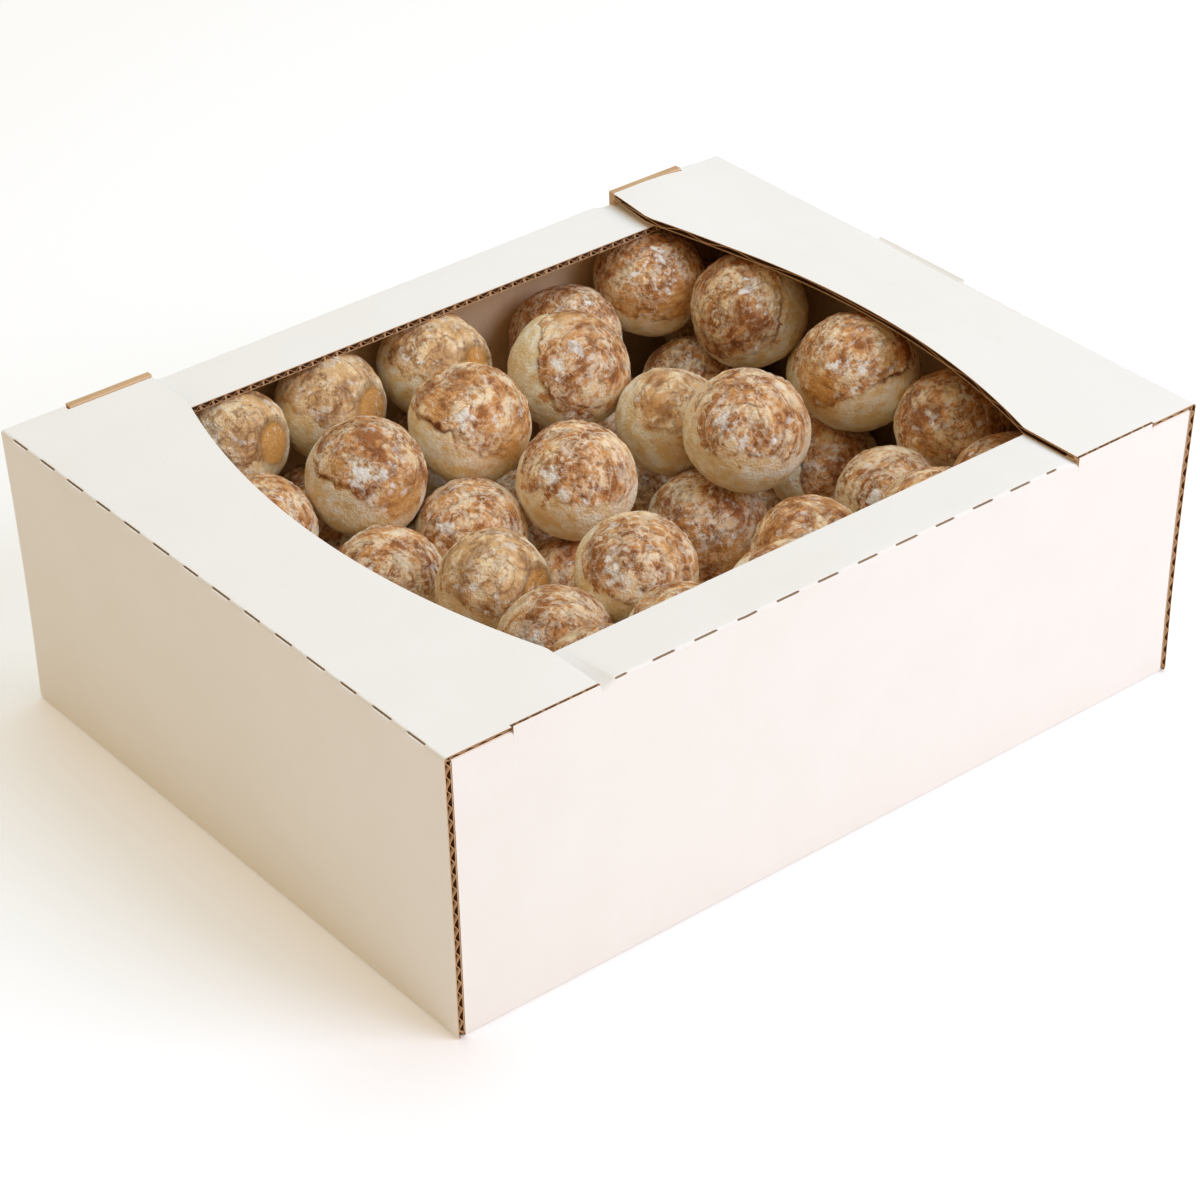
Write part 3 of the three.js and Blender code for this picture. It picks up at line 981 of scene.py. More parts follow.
    def end_wall(self, side: int) -> Sheet:
        """The front or the back wall with its strip, as one sheet.

        Its section is a path from the underside of the base, over a quarter circle, up the wall, over the
        fold and along the strip to its inner edge. The path is carried along X.

        Args:
            side: -1 for the front wall, 1 for the back one.

        Returns:
            The sheet, with open flutes at the strip's inner edge.
        """
        row = self.perforations()["front"]
        thick = self.board.thickness
        reach = self.length / 2.0 - thick - self.seam
        x = self.spread(reach, self.front_lines if side < 0 else self.back_lines, [row.ends()])
        wall = side * self.width / 2.0
        inside = wall - side * thick
        top = self.height - thick - self.seam
        under = top - thick
        strip = self.front_strip if side < 0 else self.back_strip
        path = [(inside, 0.0, inside - side * self.base_seam[0], thick - self.base_seam[1])]
        path += self.corner((0.0, thick), wall, side, 1)
        path += [(wall, z, inside, z) for z in np.linspace(thick + 1.0 * MM, under - 1.0 * MM, 6)]
        path += reversed([*self.corner((top, under), wall, side, -1)])
        for share in STRIP_SHARES:
            y = wall - side * (self.fold + (strip - self.fold) * share)
            path.append((y, top, y, under))
        before, past = self.rise_run
        left_edge, right_edge = -reach + self.left.end, reach - self.right.end
        between = smooth_step(x, left_edge - before, left_edge + past)
        between *= 1.0 - smooth_step(x, right_edge - past, right_edge + before)
        beside = x < -reach + self.left.notch - self.beside_notch
        beside |= x > reach - self.right.notch + self.beside_notch
        rises = np.interp(x, (-reach, reach), (self.fold_rise, self.fold_rise) if side < 0 else self.back_rises)
        grids = []
        for first in (0, 2):
            line = np.array([step[first : first + 2] for step in path])
            grid = np.zeros((len(path), len(x), 3))
            grid[..., 0] = x
            grid[..., 1:] = line[:, None, :]
            inward = np.clip((wall - grid[..., 1]) * side / strip, 0.0, 1.0)
            rise = rises * between * (1.0 - inward)
            rise += self.crushed * beside * bell(inward * strip, self.crush_reach)
            grid[..., 2] += smooth_step(grid[..., 2], self.height * 0.8, top - thick) * rise
            grids.append(grid)
        slit = None
        if side < 0:
            slit = self.cut_front_fold(grids[0], row)
            self.crease_strip(grids)
        else:
            grids = [grid[:, ::-1] for grid in grids]
        edge = ("s1",)
        return Sheet(*grids, edge, edge, () if side < 0 else edge, slit=slit, board=self.board)

    def cut_front_fold(self, outer: np.ndarray, row: Perforation) -> np.ndarray:
        """Presses the row of cuts into the front fold's outer face, as cut_folds does.

        Args:
            outer: the end wall's outer grid, which is changed.
            row: the row of cuts.

        Returns:
            How far each point is pressed in, as a share.
        """
        top = self.height - self.board.thickness - self.seam + self.fold_rise
        offset_y, offset_z = outer[..., 1] + self.width / 2.0, outer[..., 2] - top
        near = np.abs(offset_y) + np.abs(offset_z) < self.cut.reach * self.fold
        share = bell(offset_y + offset_z, self.cut.half) * near * row.inside(outer[..., 0])
        outer[..., 1] += share * self.cut.depth * DIAGONAL
        outer[..., 2] -= share * self.cut.depth * DIAGONAL
        return share

    def crease_strip(self, grids: list[np.ndarray]) -> None:
        """Lays a faint crease across the front strip, as a shallow dent along Y.

        Args:
            grids: the end wall's outer and inner grid, which are changed.
        """
        for grid in grids:
            flat = grid[..., 2] > self.height - 3.0 * self.board.thickness
            grid[..., 2] -= self.strip_crease.dent(grid[..., 0] + self.strip_crease.place) * flat

    def tab(self, flap: Flap, side: int) -> Sheet:
        """A tab of an end wall, which stands up behind a flap's notch to the flap's top.

        Args:
            flap: the flap whose notch it stands behind.
            side: -1 for the front wall, 1 for the back one.

        Returns:
            An upright sheet. A front tab shows open flutes at its top; a back one has plain cut edges.
        """
        wall = side * (self.width / 2.0 + self.tab_proud)
        inside = side * (self.width / 2.0 - (self.tab_edge if side < 0 else self.board.thickness))
        end = flap.end - (flap.taper if side > 0 else 0.0)
        x = np.sort(flap.side * (self.length / 2.0 - np.linspace(flap.notch + self.slit, end, self.tab_lines)))
        top = self.height + (flap.tab_lift if side > 0 else 0.0)
        z = [self.height - self.tab_foot, self.height - self.tab_foot / 2.0, top - 1.0 * MM, top]
        across, up = np.meshgrid(x if side < 0 else x[::-1], z)
        outer = np.stack([across, np.full(across.shape, wall), up], -1)
        inner = np.stack([across, np.full(across.shape, inside), up], -1)
        edge = ("s1",) if side < 0 else ()
        return Sheet(outer, inner, edge, edge, edge, board=Board(medium=0.16 * MM))

    def lean(self, points: np.ndarray) -> np.ndarray:
        """Leans the walls outwards, as a full carton's do.

        Each place moves away from the middle in X and in Y, by a share of the bulge that grows with the square
        of its height and evenly with its distance from the middle.

        Args:
            points: places, shape (..., 3).

        Returns:
            The moved places.
        """
        share = points / np.array([self.length / 2.0, self.width / 2.0, self.height])
        return points + self.bulge * share * [1.0, 1.0, 0.0] * share[..., 2:] ** 2

    def build(self, materials: list[bpy.types.Material], medium: bpy.types.Material) -> None:
        """Builds every piece of the carton: a closed mesh for each sheet, and one for all the paper waves.

        Args:
            materials: for the faces of a sheet, in the order of Face.
            medium: for the open edge of the paper wave between the liners.
        """
        sheets = {"carton_wrap": self.wrap()}
        sheets |= {"carton_front": self.end_wall(-1), "carton_back": self.end_wall(1)}
        for end_name, side in (("front", -1), ("back", 1)):
            for flap_name, flap in (("left", self.left), ("right", self.right)):
                sheets[f"carton_tab_{end_name}_{flap_name}"] = self.tab(flap, side)
        points, quads, painted_shade, total = [], [], [], 0
        for name, sheet in sheets.items():
            sheet.outer, sheet.inner = self.lean(sheet.outer), self.lean(sheet.inner)
            make_piece(sheet.mesh(name), "board", materials, "carton")
            for edge in sheet.fluted:
                ribbon, faces = sheet.flutes(edge)
                open_edge = np.arange(len(faces)) < len(ribbon) // 4 - 1
                # the wave's open edge takes the paper's colour; its other sides take painted shade, or the cut's
                # colour on a crushed edge
                painted_shade.append(np.where(open_edge, 0, 2 if edge in sheet.crushed else 1))
                points.append(ribbon)
                quads.append(faces + total)
                total += len(ribbon)
        mesh = make_mesh("carton_flutes", np.concatenate(points), np.concatenate(quads))
        mesh.polygons.foreach_set("material_index", np.concatenate(painted_shade).astype(np.int32))
        papers = [medium, materials[Face.PAINTED_SHADE.value], materials[Face.CUT.value]]
        make_piece(mesh, "board", papers, "carton")


# ------------------------------------------------------------------------------------------ gingerbread
# Lengths from here to the studio are in millimetres.
CROWN_SHARE = 0.885  # a gingerbread's half height along its crown, as a share of its radius
FOOT_LATITUDE = -48.0  # where its side ends in the foot, in degrees
CLEARANCE = 0.4  # the gap that two keep
YIELDING = 0.85  # the share of a push that the later one takes
INTERIOR = np.array([186.7, 144.2])  # half the carton's inside along X and Y
FLOOR = 3.3
CEILING = 125.4
GOLDEN_RATIO = 0.618034
EVEN_STEPS = (GOLDEN_RATIO, 0.754878, 0.56984, 0.381966, 0.236068)  # their multiples never fall into step

UP = np.array([0.0, 0.0, 1.0])
VIEWPOINT = np.array([-763.0, -959.0, 854.0])


@dataclass
class Places:
    """Where gingerbreads lie: their middles and radii in millimetres, and the directions of their crowns."""

    middles: np.ndarray
    radii: np.ndarray
    crowns: np.ndarray

    @staticmethod
    def from_rows(rows: list[tuple[float, ...]]) -> "Places":
        """Places from rows of numbers.

        Args:
            rows: x, y, z, radius, and the crown's lean from upright and heading in degrees.

        Returns:
            The places, with each crown as a direction.
        """
        table = np.array(rows, float)
        lean, heading = np.radians(table[:, 4]), np.radians(table[:, 5])
        crowns = np.stack([np.sin(lean) * np.cos(heading), np.sin(lean) * np.sin(heading), np.cos(lean)], -1)
        return Places(table[:, :3].copy(), table[:, 3].copy(), crowns)

    def reach(self, directions: np.ndarray) -> np.ndarray:
        """How far each one reaches from its middle in a direction, as a ball that is flatter along its crown."""
        along = (self.crowns * directions).sum(-1)
        return self.radii * np.sqrt(1.0 - along * along * (1.0 - CROWN_SHARE**2))

    def bread(self, number: int, kind: "Kind", mirrored: bool, seed: int) -> "Gingerbread":
        """The gingerbread that lies at one of the places."""
        place = (self.middles[number], self.radii[number], self.crowns[number])
        return Gingerbread(*place, kind.value, mirrored, seed)

    def picked(self, choice: object) -> "Places":
        """The places that a choice of indices names."""
        return Places(self.middles[choice], self.radii[choice], self.crowns[choice])

    def settle(self, rounds: int = 500, damping: float = 0.5) -> "Places":
        """Pushes the gingerbreads apart and back inside the carton, for a fixed number of rounds.

        In each round every two that press on each other are pushed along the line of their middles, the later
        one by most of it, and then each one that stands past a wall is set back to it.

        Args:
            rounds: how often.
            damping: share of a round's push that is applied.

        Returns:
            These places, moved.
        """
        first, second = np.triu_indices(len(self.radii), 1)
        walls = [(axis * sign, limit) for axis, limit in zip(np.eye(3)[:2], INTERIOR) for sign in (1, -1)]
        walls += [(UP, CEILING), (-UP, -FLOOR)]
        for _ in range(rounds):
            line = self.middles[second] - self.middles[first]
            distance = np.linalg.norm(line, axis=1)
            line /= distance[:, None]
            gap = distance - self.picked(first).reach(line) - self.picked(second).reach(line) - CLEARANCE
            press = np.minimum(gap, 0.0)[:, None]
            pushes = np.zeros_like(self.middles)
            np.add.at(pushes, first, line * press * (1.0 - YIELDING))
            np.add.at(pushes, second, -line * press * YIELDING)
            self.middles += damping * pushes
            for outward, limit in walls:
                past = self.middles @ outward + self.reach(outward) - limit
                self.middles -= np.maximum(past, 0.0)[:, None] * outward
        return self


@dataclass(frozen=True)
class Spot:
    """A place on the face that a gingerbread turns to the viewer, and how strongly something shows there.

    Right and up are shares of the radius from the middle of that face, and size is an angle in radians.
    """

    right: float
    up: float
    size: float
    strength: float = 1.0

    def direction(self, mirrored: bool) -> np.ndarray:
        """The direction from the gingerbread's middle to the spot.

        Args:
            mirrored: whether left and right are changed over.

        Returns:
            A vector of length one, of the spot's right and up and of what is left towards the viewer.
        """
        right = -self.right if mirrored else self.right
        towards = math.sqrt(max(0.0, 1.0 - right * right - self.up * self.up))
        basis = np.array([CAMERA_RIGHT, CAMERA_UP, np.cross(CAMERA_RIGHT, CAMERA_UP)])
        return unit(np.array([right, self.up, towards]) @ basis)

    def mask(self, directions: np.ndarray, mirrored: bool) -> np.ndarray:
        """The spot's strength at each direction, falling off as a bell of the angle to the spot."""
        angle = np.arccos(np.clip(directions @ self.direction(mirrored), -1.0, 1.0))
        return self.strength * bell(angle, self.size)


@dataclass(frozen=True)
class Bake:
    """How one kind of gingerbread came out of the oven.

    Attributes:
        rim: degrees from the crown to the crust's rim.
        centre: what the glaze's rings run round.
        bays: where the pale side reaches up into the crust, in radians of depth.
        splits: where the crust is torn along its rim.
        patches: where dry sugar lies thick.
        golden: where the crust is smooth and golden brown.
        facets: where a neighbour in the oven pressed the side flat.
        pits: small holes, darkened partly as the crust's own brown and partly as painted shade.
        veins: how much of the crust the glaze's veins cover.
        rings: how clearly the glaze forms rings.
        pallor: how pale the crust is.
    """

    rim: float
    centre: Spot
    bays: tuple[Spot, ...] = ()
    splits: tuple[Spot, ...] = ()
    patches: tuple[Spot, ...] = ()
    golden: tuple[Spot, ...] = ()
    facets: tuple[Spot, ...] = ()
    pits: tuple[Spot, ...] = ()
    veins: float = 0.5
    rings: float = 0.5
    pallor: float = 0.0


class Kind(Enum):
    """The kinds of gingerbread in the box."""

    SPLIT = Bake(
        rim=70.0,
        centre=Spot(-0.05, 0.4, 0.0),
        bays=(Spot(-0.38, -0.36, 0.55, 0.45), Spot(-0.05, -0.8, 0.5, 0.35)),
        splits=(Spot(-0.52, 0.02, 0.42),),
        patches=(
            Spot(-0.55, -0.45, 0.42, 0.8),
            Spot(-0.05, 0.06, 0.24, 0.9),
            Spot(0.42, 0.1, 0.2, 0.8),
            Spot(0.15, -0.3, 0.14, 0.7),
        ),
        golden=(Spot(0.72, -0.35, 0.42), Spot(-0.42, 0.14, 0.2, 0.7)),
        veins=0.45,
        rings=0.2,
    )
    SWIRL = Bake(
        rim=66.0,
        centre=Spot(0.02, 0.08, 0.0),
        bays=(Spot(0.0, -0.6, 0.65, 0.34),),
        patches=(
            Spot(-0.38, 0.1, 0.24),
            Spot(-0.14, -0.2, 0.18, 0.9),
            Spot(0.12, -0.34, 0.16, 0.7),
            Spot(0.38, -0.12, 0.14, 0.6),
        ),
        golden=(Spot(0.5, 0.42, 0.12, 0.7),),
        pits=(Spot(0.1, -0.24, 0.045),),
        veins=0.6,
        rings=0.8,
    )
    SIDE = Bake(
        rim=74.0,
        centre=Spot(0.55, 0.15, 0.0),
        bays=(Spot(-0.85, 0.2, 0.7, 1.05),),
        splits=(Spot(-0.38, 0.1, 0.6, 0.8),),
        patches=(Spot(0.12, 0.35, 0.2, 0.9), Spot(-0.15, 0.05, 0.2, 0.7), Spot(0.02, -0.75, 0.22, 0.8)),
        golden=(Spot(0.0, 0.85, 0.2, 0.7),),
        veins=0.55,
        rings=0.5,
    )
    RIDGED = Bake(
        rim=66.0,
        centre=Spot(0.0, 0.25, 0.0),
        bays=(Spot(-0.4, -0.6, 0.5, 0.3),),
        patches=(Spot(-0.3, 0.0, 0.3, 0.5), Spot(0.1, -0.3, 0.25, 0.5)),
        facets=(Spot(0.86, -0.02, 0.5),),
        veins=0.4,
        rings=0.3,
        pallor=0.5,
    )
    PALE = Bake(
        rim=56.0,
        centre=Spot(0.1, 0.5, 0.0),
        bays=(Spot(0.2, 0.0, 0.6, 0.25),),
        splits=(Spot(0.1, -0.03, 0.25, 0.4),),
        patches=(Spot(-0.29, -0.7, 0.3, 0.8), Spot(0.2, 0.5, 0.2, 0.5)),
        golden=(Spot(-0.3, 0.3, 0.25, 0.7), Spot(0.35, -0.3, 0.4, 0.6)),
        veins=0.4,
        rings=0.4,
        pallor=0.3,
    )
    DARK = Bake(
        rim=80.0,
        centre=Spot(0.0, 0.6, 0.0),
        patches=(Spot(0.1, 0.5, 0.35, 0.6), Spot(0.3, 0.0, 0.3, 0.6), Spot(-0.3, 0.1, 0.3, 0.5)),
        golden=(Spot(0.5, -0.5, 0.4), Spot(-0.4, -0.5, 0.3, 0.7)),
        veins=0.6,
        rings=0.2,
    )
    PLAIN = Bake(
        rim=66.0,
        centre=Spot(0.1, 0.3, 0.0),
        bays=(Spot(-0.3, -0.6, 0.5, 0.3),),
        patches=(Spot(0.0, 0.4, 0.25, 0.6), Spot(0.4, 0.1, 0.2, 0.6)),
        veins=0.5,
        rings=0.4,
    )


SHOWN = [
    (-69, 70, 97, 25.5, 35, -100, Kind.SPLIT, False),
    (-13, 72, 101, 26, 30, -105, Kind.SPLIT, False),
    (49, 82, 101, 26.5, 40, -100, Kind.SIDE, False),
    (3, 20, 91, 25.5, 30, -120, Kind.SWIRL, False),
    (73, -8, 101, 26.5, 35, -115, Kind.SWIRL, False),
    (144, 70, 101, 26.5, 40, -155, Kind.SIDE, True),
    (142, -1, 101, 26.5, 30, -150, Kind.SPLIT, True),
    (-34, -65, 102, 24.5, 35, -115, Kind.SWIRL, False),
    (132, 7, 56, 24, 30, -110, Kind.SIDE, False),
    (127, 120, 101, 25, 25, -115, Kind.DARK, False),
    (58, 0, 55, 26.5, 35, -95, Kind.DARK, False),
    (-38, 40, 72, 24, 30, -125, Kind.SWIRL, False),
    (-76, -26, 94, 23.5, 30, -120, Kind.RIDGED, False),
    (-81, -72, 92, 23.5, 25, -115, Kind.SWIRL, False),
    (-87, 31, 74, 23.5, 25, -115, Kind.SWIRL, False),
    (-51, 120, 103, 24.5, 25, -90, Kind.RIDGED, False),
    (4, 120, 103, 25, 25, -90, Kind.RIDGED, False),
    (-100, 121, 104, 23.5, 20, -95, Kind.RIDGED, False),
    (68, 38, 86, 24, 30, -90, Kind.PALE, False),
    (78, 120, 92, 25, 25, -140, Kind.DARK, False),
    (152, -49, 92, 24, 25, -125, Kind.DARK, False),
    (-70, 106, 63, 23.5, 25, -140, Kind.PLAIN, False),
    (-115, 80, 87, 23.5, 20, -95, Kind.PLAIN, False),
    (107, -62, 78, 23.5, 20, -110, Kind.SWIRL, False),
    (45, -79, 86, 23.5, 25, -140, Kind.SPLIT, False),
    (128, 90, 60, 24.5, 20, -110, Kind.DARK, True),
    (4, 121, 59, 23.5, 20, -110, Kind.PLAIN, True),
    (-6, 12, 46, 23.5, 25, -115, Kind.PLAIN, False),
    (165, 32, 78, 23.5, 20, -110, Kind.PLAIN, True),
    (163, 121, 72, 24, 20, -110, Kind.DARK, False),
    (11, 70, 44, 23.5, 20, -125, Kind.PLAIN, False),
    (77, 61, 36, 23.5, 20, -110, Kind.DARK, True),
    (92, 120, 50, 24.5, 20, -125, Kind.PLAIN, False),
    (153, 52, 43, 23.5, 20, -110, Kind.PLAIN, True),
    (164, -38, 53, 23.5, 20, -160, Kind.SWIRL, True),
]

VECTORS = ("local", "swirl")
NUMBERS = ("inset", "split", "crackle", "sugar", "golden", "pit", "veins", "rings", "pallor", "tone")


@dataclass(frozen=True)
class Waves:
    """A layered noise over places in millimetres: its longest wave, its seed and how many layers it has."""

    length: float
    seed: int
    layers: int = 1

    def at(self, points: np.ndarray) -> np.ndarray:
        """The noise at each place, from about -1 to 1."""
        return layered_noise(points / self.length, self.seed, self.layers)


RUFFLE, FINE_RUFFLE = Waves(10.0, 3, 3), Waves(3.0, 7)  # of the crust's rim
TORN = Waves(6.0, 11, 2)  # where along its rim a split is open
LUMPS, BUMPS = Waves(26.0, 21, 2), Waves(9.0, 25, 2)  # of the body
CRACK_CELL, CRACK_SEED = 6.5, 33
CRACK_BEND, CRACKED = Waves(4.0, 31), Waves(8.0, 35, 2)  # how cracks wander, and where there are some
WRINKLES = Waves(3.4, 41, 3)
CORE_BUMPS = Waves(17.0, 51, 3)


@dataclass(frozen=True)
class Relief:
    """How far the crust's forms stand out or in, in millimetres.

    Attributes:
        skin: the whole surface, out.
        lump: broad lumps of the whole body.
        bump: smaller ones.
        crust: the crust above the pale side.
        crack: fine cracks, in.
        wrinkle: the crust's wrinkles.
        side_wrinkle: the pale side's.
        lip: a split's raised lip.
        furrow: the furrow below it, in.
        pit: a pit, in.
        foot: how softly the side turns into the foot.
    """

    skin: float = 0.2
    lump: float = 1.1
    bump: float = 0.5
    crust: float = 0.55
    crack: float = 0.7
    wrinkle: float = 0.5
    side_wrinkle: float = 0.2
    lip: float = 1.2
    furrow: float = 2.1
    pit: float = 1.3
    foot: float = 0.7


@dataclass
class Gingerbread:
    """One gingerbread: its place, how it is baked, and the seed of its unevenness. Millimetres."""

    middle: np.ndarray
    radius: float
    crown: np.ndarray
    bake: Bake
    mirrored: bool
    seed: int
    relief: Relief = field(default_factory=Relief)

    def grid(self, turns: int, rings: int) -> tuple[np.ndarray, np.ndarray]:
        """A sphere's directions, with its pole at the crown.

        A direction is the crown times the cosine of its angle from the crown, plus the sine of that angle
        times a spoke that turns round the crown, starting at the viewer's right.

        Args:
            turns: points in a ring.
            rings: steps from the crown to the foot.

        Returns:
            The directions, the two poles last, and their angles from the crown.
        """
        across = unit(np.array(CAMERA_RIGHT) - self.crown * (np.array(CAMERA_RIGHT) @ self.crown))
        other = np.cross(self.crown, across)
        polar = np.linspace(0.0, math.pi, rings + 1)[1:-1]
        turn = np.arange(turns) * 2.0 * math.pi / turns
        theta, phi = (a.ravel() for a in np.meshgrid(polar, turn, indexing="ij"))
        theta, phi = np.append(theta, [0.0, math.pi]), np.append(phi, [0.0, 0.0])
        spokes = np.cos(phi)[:, None] * across + np.sin(phi)[:, None] * other
        return np.sin(theta)[:, None] * spokes + np.cos(theta)[:, None] * self.crown, theta

    def masks(self, directions: np.ndarray, spots: tuple[Spot, ...]) -> np.ndarray:
        """The strongest of some spots at each direction."""
        found = [spot.mask(directions, self.mirrored) for spot in spots]
        return np.max(found, axis=0) if found else np.zeros(len(directions))

    def surface(self, turns: int, rings: int) -> tuple[np.ndarray, np.ndarray, np.ndarray, dict[str, np.ndarray]]:
        """The gingerbread's points, faces and what its material reads.

        The body is a sphere of the gingerbread's radius, flattened along the crown, with a flat foot. Noise
        dips it unevenly. The crust reaches from the crown to a rim, whose angle the bays lessen and noise
        ruffles. It stands proud of the pale side, and at a split a furrow follows the rim below a raised lip.
        Borders of a fine honeycomb are cracks in the crust, and a facet is a plane that cuts the side flat.
        Nothing of it reaches below the carton's floor.

        Args:
            turns: points in a ring.
            rings: steps from the crown to the foot.

        Returns:
            Points, quads, triangles and attributes by name.
        """
        directions, theta = self.grid(turns, rings)
        bake, depth = self.bake, self.relief
        offset = np.array([61.0, 37.0, 83.0]) * (self.seed + 1)
        placed = directions * self.radius + offset
        bays = sum((spot.mask(directions, self.mirrored) for spot in bake.bays), np.zeros(len(theta)))
        ruffle = 0.2 * RUFFLE.at(placed) + 0.08 * FINE_RUFFLE.at(placed)
        inset = (math.radians(bake.rim) - bays + ruffle - theta) * self.radius
        split = self.masks(directions, bake.splits)
        split *= smooth_step(TORN.at(placed), -0.75, 0.1)
        crust = smooth_step(inset, -0.8, 1.4)

        form = depth.lump * LUMPS.at(placed) + depth.bump * BUMPS.at(placed)
        bent = placed / CRACK_CELL + 0.5 * CRACK_BEND.at(placed)[:, None]
        crackle = bell(crack_distance(bent, CRACK_SEED), 0.13)
        crackle *= smooth_step(CRACKED.at(placed), -0.3, 0.4)
        wrinkles = WRINKLES.at(placed)
        form += crust * (depth.crust - depth.crack * crackle + depth.wrinkle * wrinkles)
        form += (1.0 - crust) * depth.side_wrinkle * wrinkles
        form += split * (depth.lip * bell(inset - 2.4, 1.6) - depth.furrow * bell(inset + 0.2, 1.1))
        form -= depth.pit * self.masks(directions, bake.pits)

        points = directions * (self.radius + depth.skin + form)[:, None]
        height = points @ self.crown
        points += self.crown * (height * (CROWN_SHARE - 1.0))[:, None]
        for spot in bake.facets:
            normal = spot.direction(self.mirrored)
            past = points @ normal - self.radius * math.cos(spot.size) * 0.97
            points -= normal * (np.maximum(past, 0.0) * 0.92)[:, None]
        height = points @ self.crown
        foot = -self.radius * CROWN_SHARE * math.sin(math.radians(-FOOT_LATITUDE))
        raised = foot + depth.foot * np.logaddexp(0.0, (height - foot) / depth.foot)
        points += self.crown * (raised - height)[:, None]

        axis = bake.centre.direction(self.mirrored)
        lateral = directions - axis * (directions @ axis)[:, None]
        sine = np.linalg.norm(lateral, axis=1)
        spokes = lateral / np.maximum(sine, 1e-6)[:, None]
        away = np.arctan2(sine, directions @ axis) * self.radius
        side = unit(np.cross(axis, UP))
        polar = np.stack([away, 6.0 * spokes @ side, 6.0 * spokes @ np.cross(axis, side)], -1)
        facet = self.masks(directions, bake.facets)
        bare = 1.0 - smooth_step(facet, 0.3, 0.6)
        values = {
            "local": placed,
            "swirl": polar + offset * [0.0, 1.0, 1.0],
            "inset": np.clip(inset, -20.0, 20.0),
            "split": split,
            "crackle": crackle * crust,
            "sugar": self.masks(directions, bake.patches) * (1.0 - facet),
            "golden": np.maximum(self.masks(directions, bake.golden), smooth_step(facet, 0.35, 0.6)),
            "pit": self.masks(directions, bake.pits),
            "veins": bake.veins * bare,
            "rings": bake.rings * bare,
            "pallor": np.full(len(theta), bake.pallor),
            "tone": np.full(len(theta), (self.seed * GOLDEN_RATIO) % 1.0),
        }
        count = turns * (rings - 1)
        index = np.arange(count).reshape(rings - 1, turns)
        after = np.roll(index, -1, axis=1)
        quads = np.stack([index[:-1], index[1:], after[1:], after[:-1]], -1).reshape(-1, 4)
        top = np.stack([np.full(turns, count), index[0], after[0]], -1)
        bottom = np.stack([np.full(turns, count + 1), after[-1], index[-1]], -1)
        points += self.middle
        points[:, 2] = np.maximum(points[:, 2], FLOOR)
        return points, quads, np.concatenate([top, bottom]), values


def gingerbread_mesh(name: str, breads: list[Gingerbread], turns: int, rings: int) -> bpy.types.Mesh:
    """Several gingerbreads as one mesh, with their attributes.

    Args:
        name: the mesh's name.
        breads: the gingerbreads.
        turns: points in a ring.
        rings: steps from crown to foot.

    Returns:
        The mesh.
    """
    parts = [bread.surface(turns, rings) for bread in breads]
    step = len(parts[0][0])
    points = np.concatenate([part[0] for part in parts]) * MM
    quads = np.concatenate([part[1] + k * step for k, part in enumerate(parts)])
    triangles = np.concatenate([part[2] + k * step for k, part in enumerate(parts)])
    mesh = make_mesh(name, points, quads, triangles)
    write_values(mesh, {key: np.concatenate([part[3][key] for part in parts]) for key in VECTORS + NUMBERS})
    return mesh


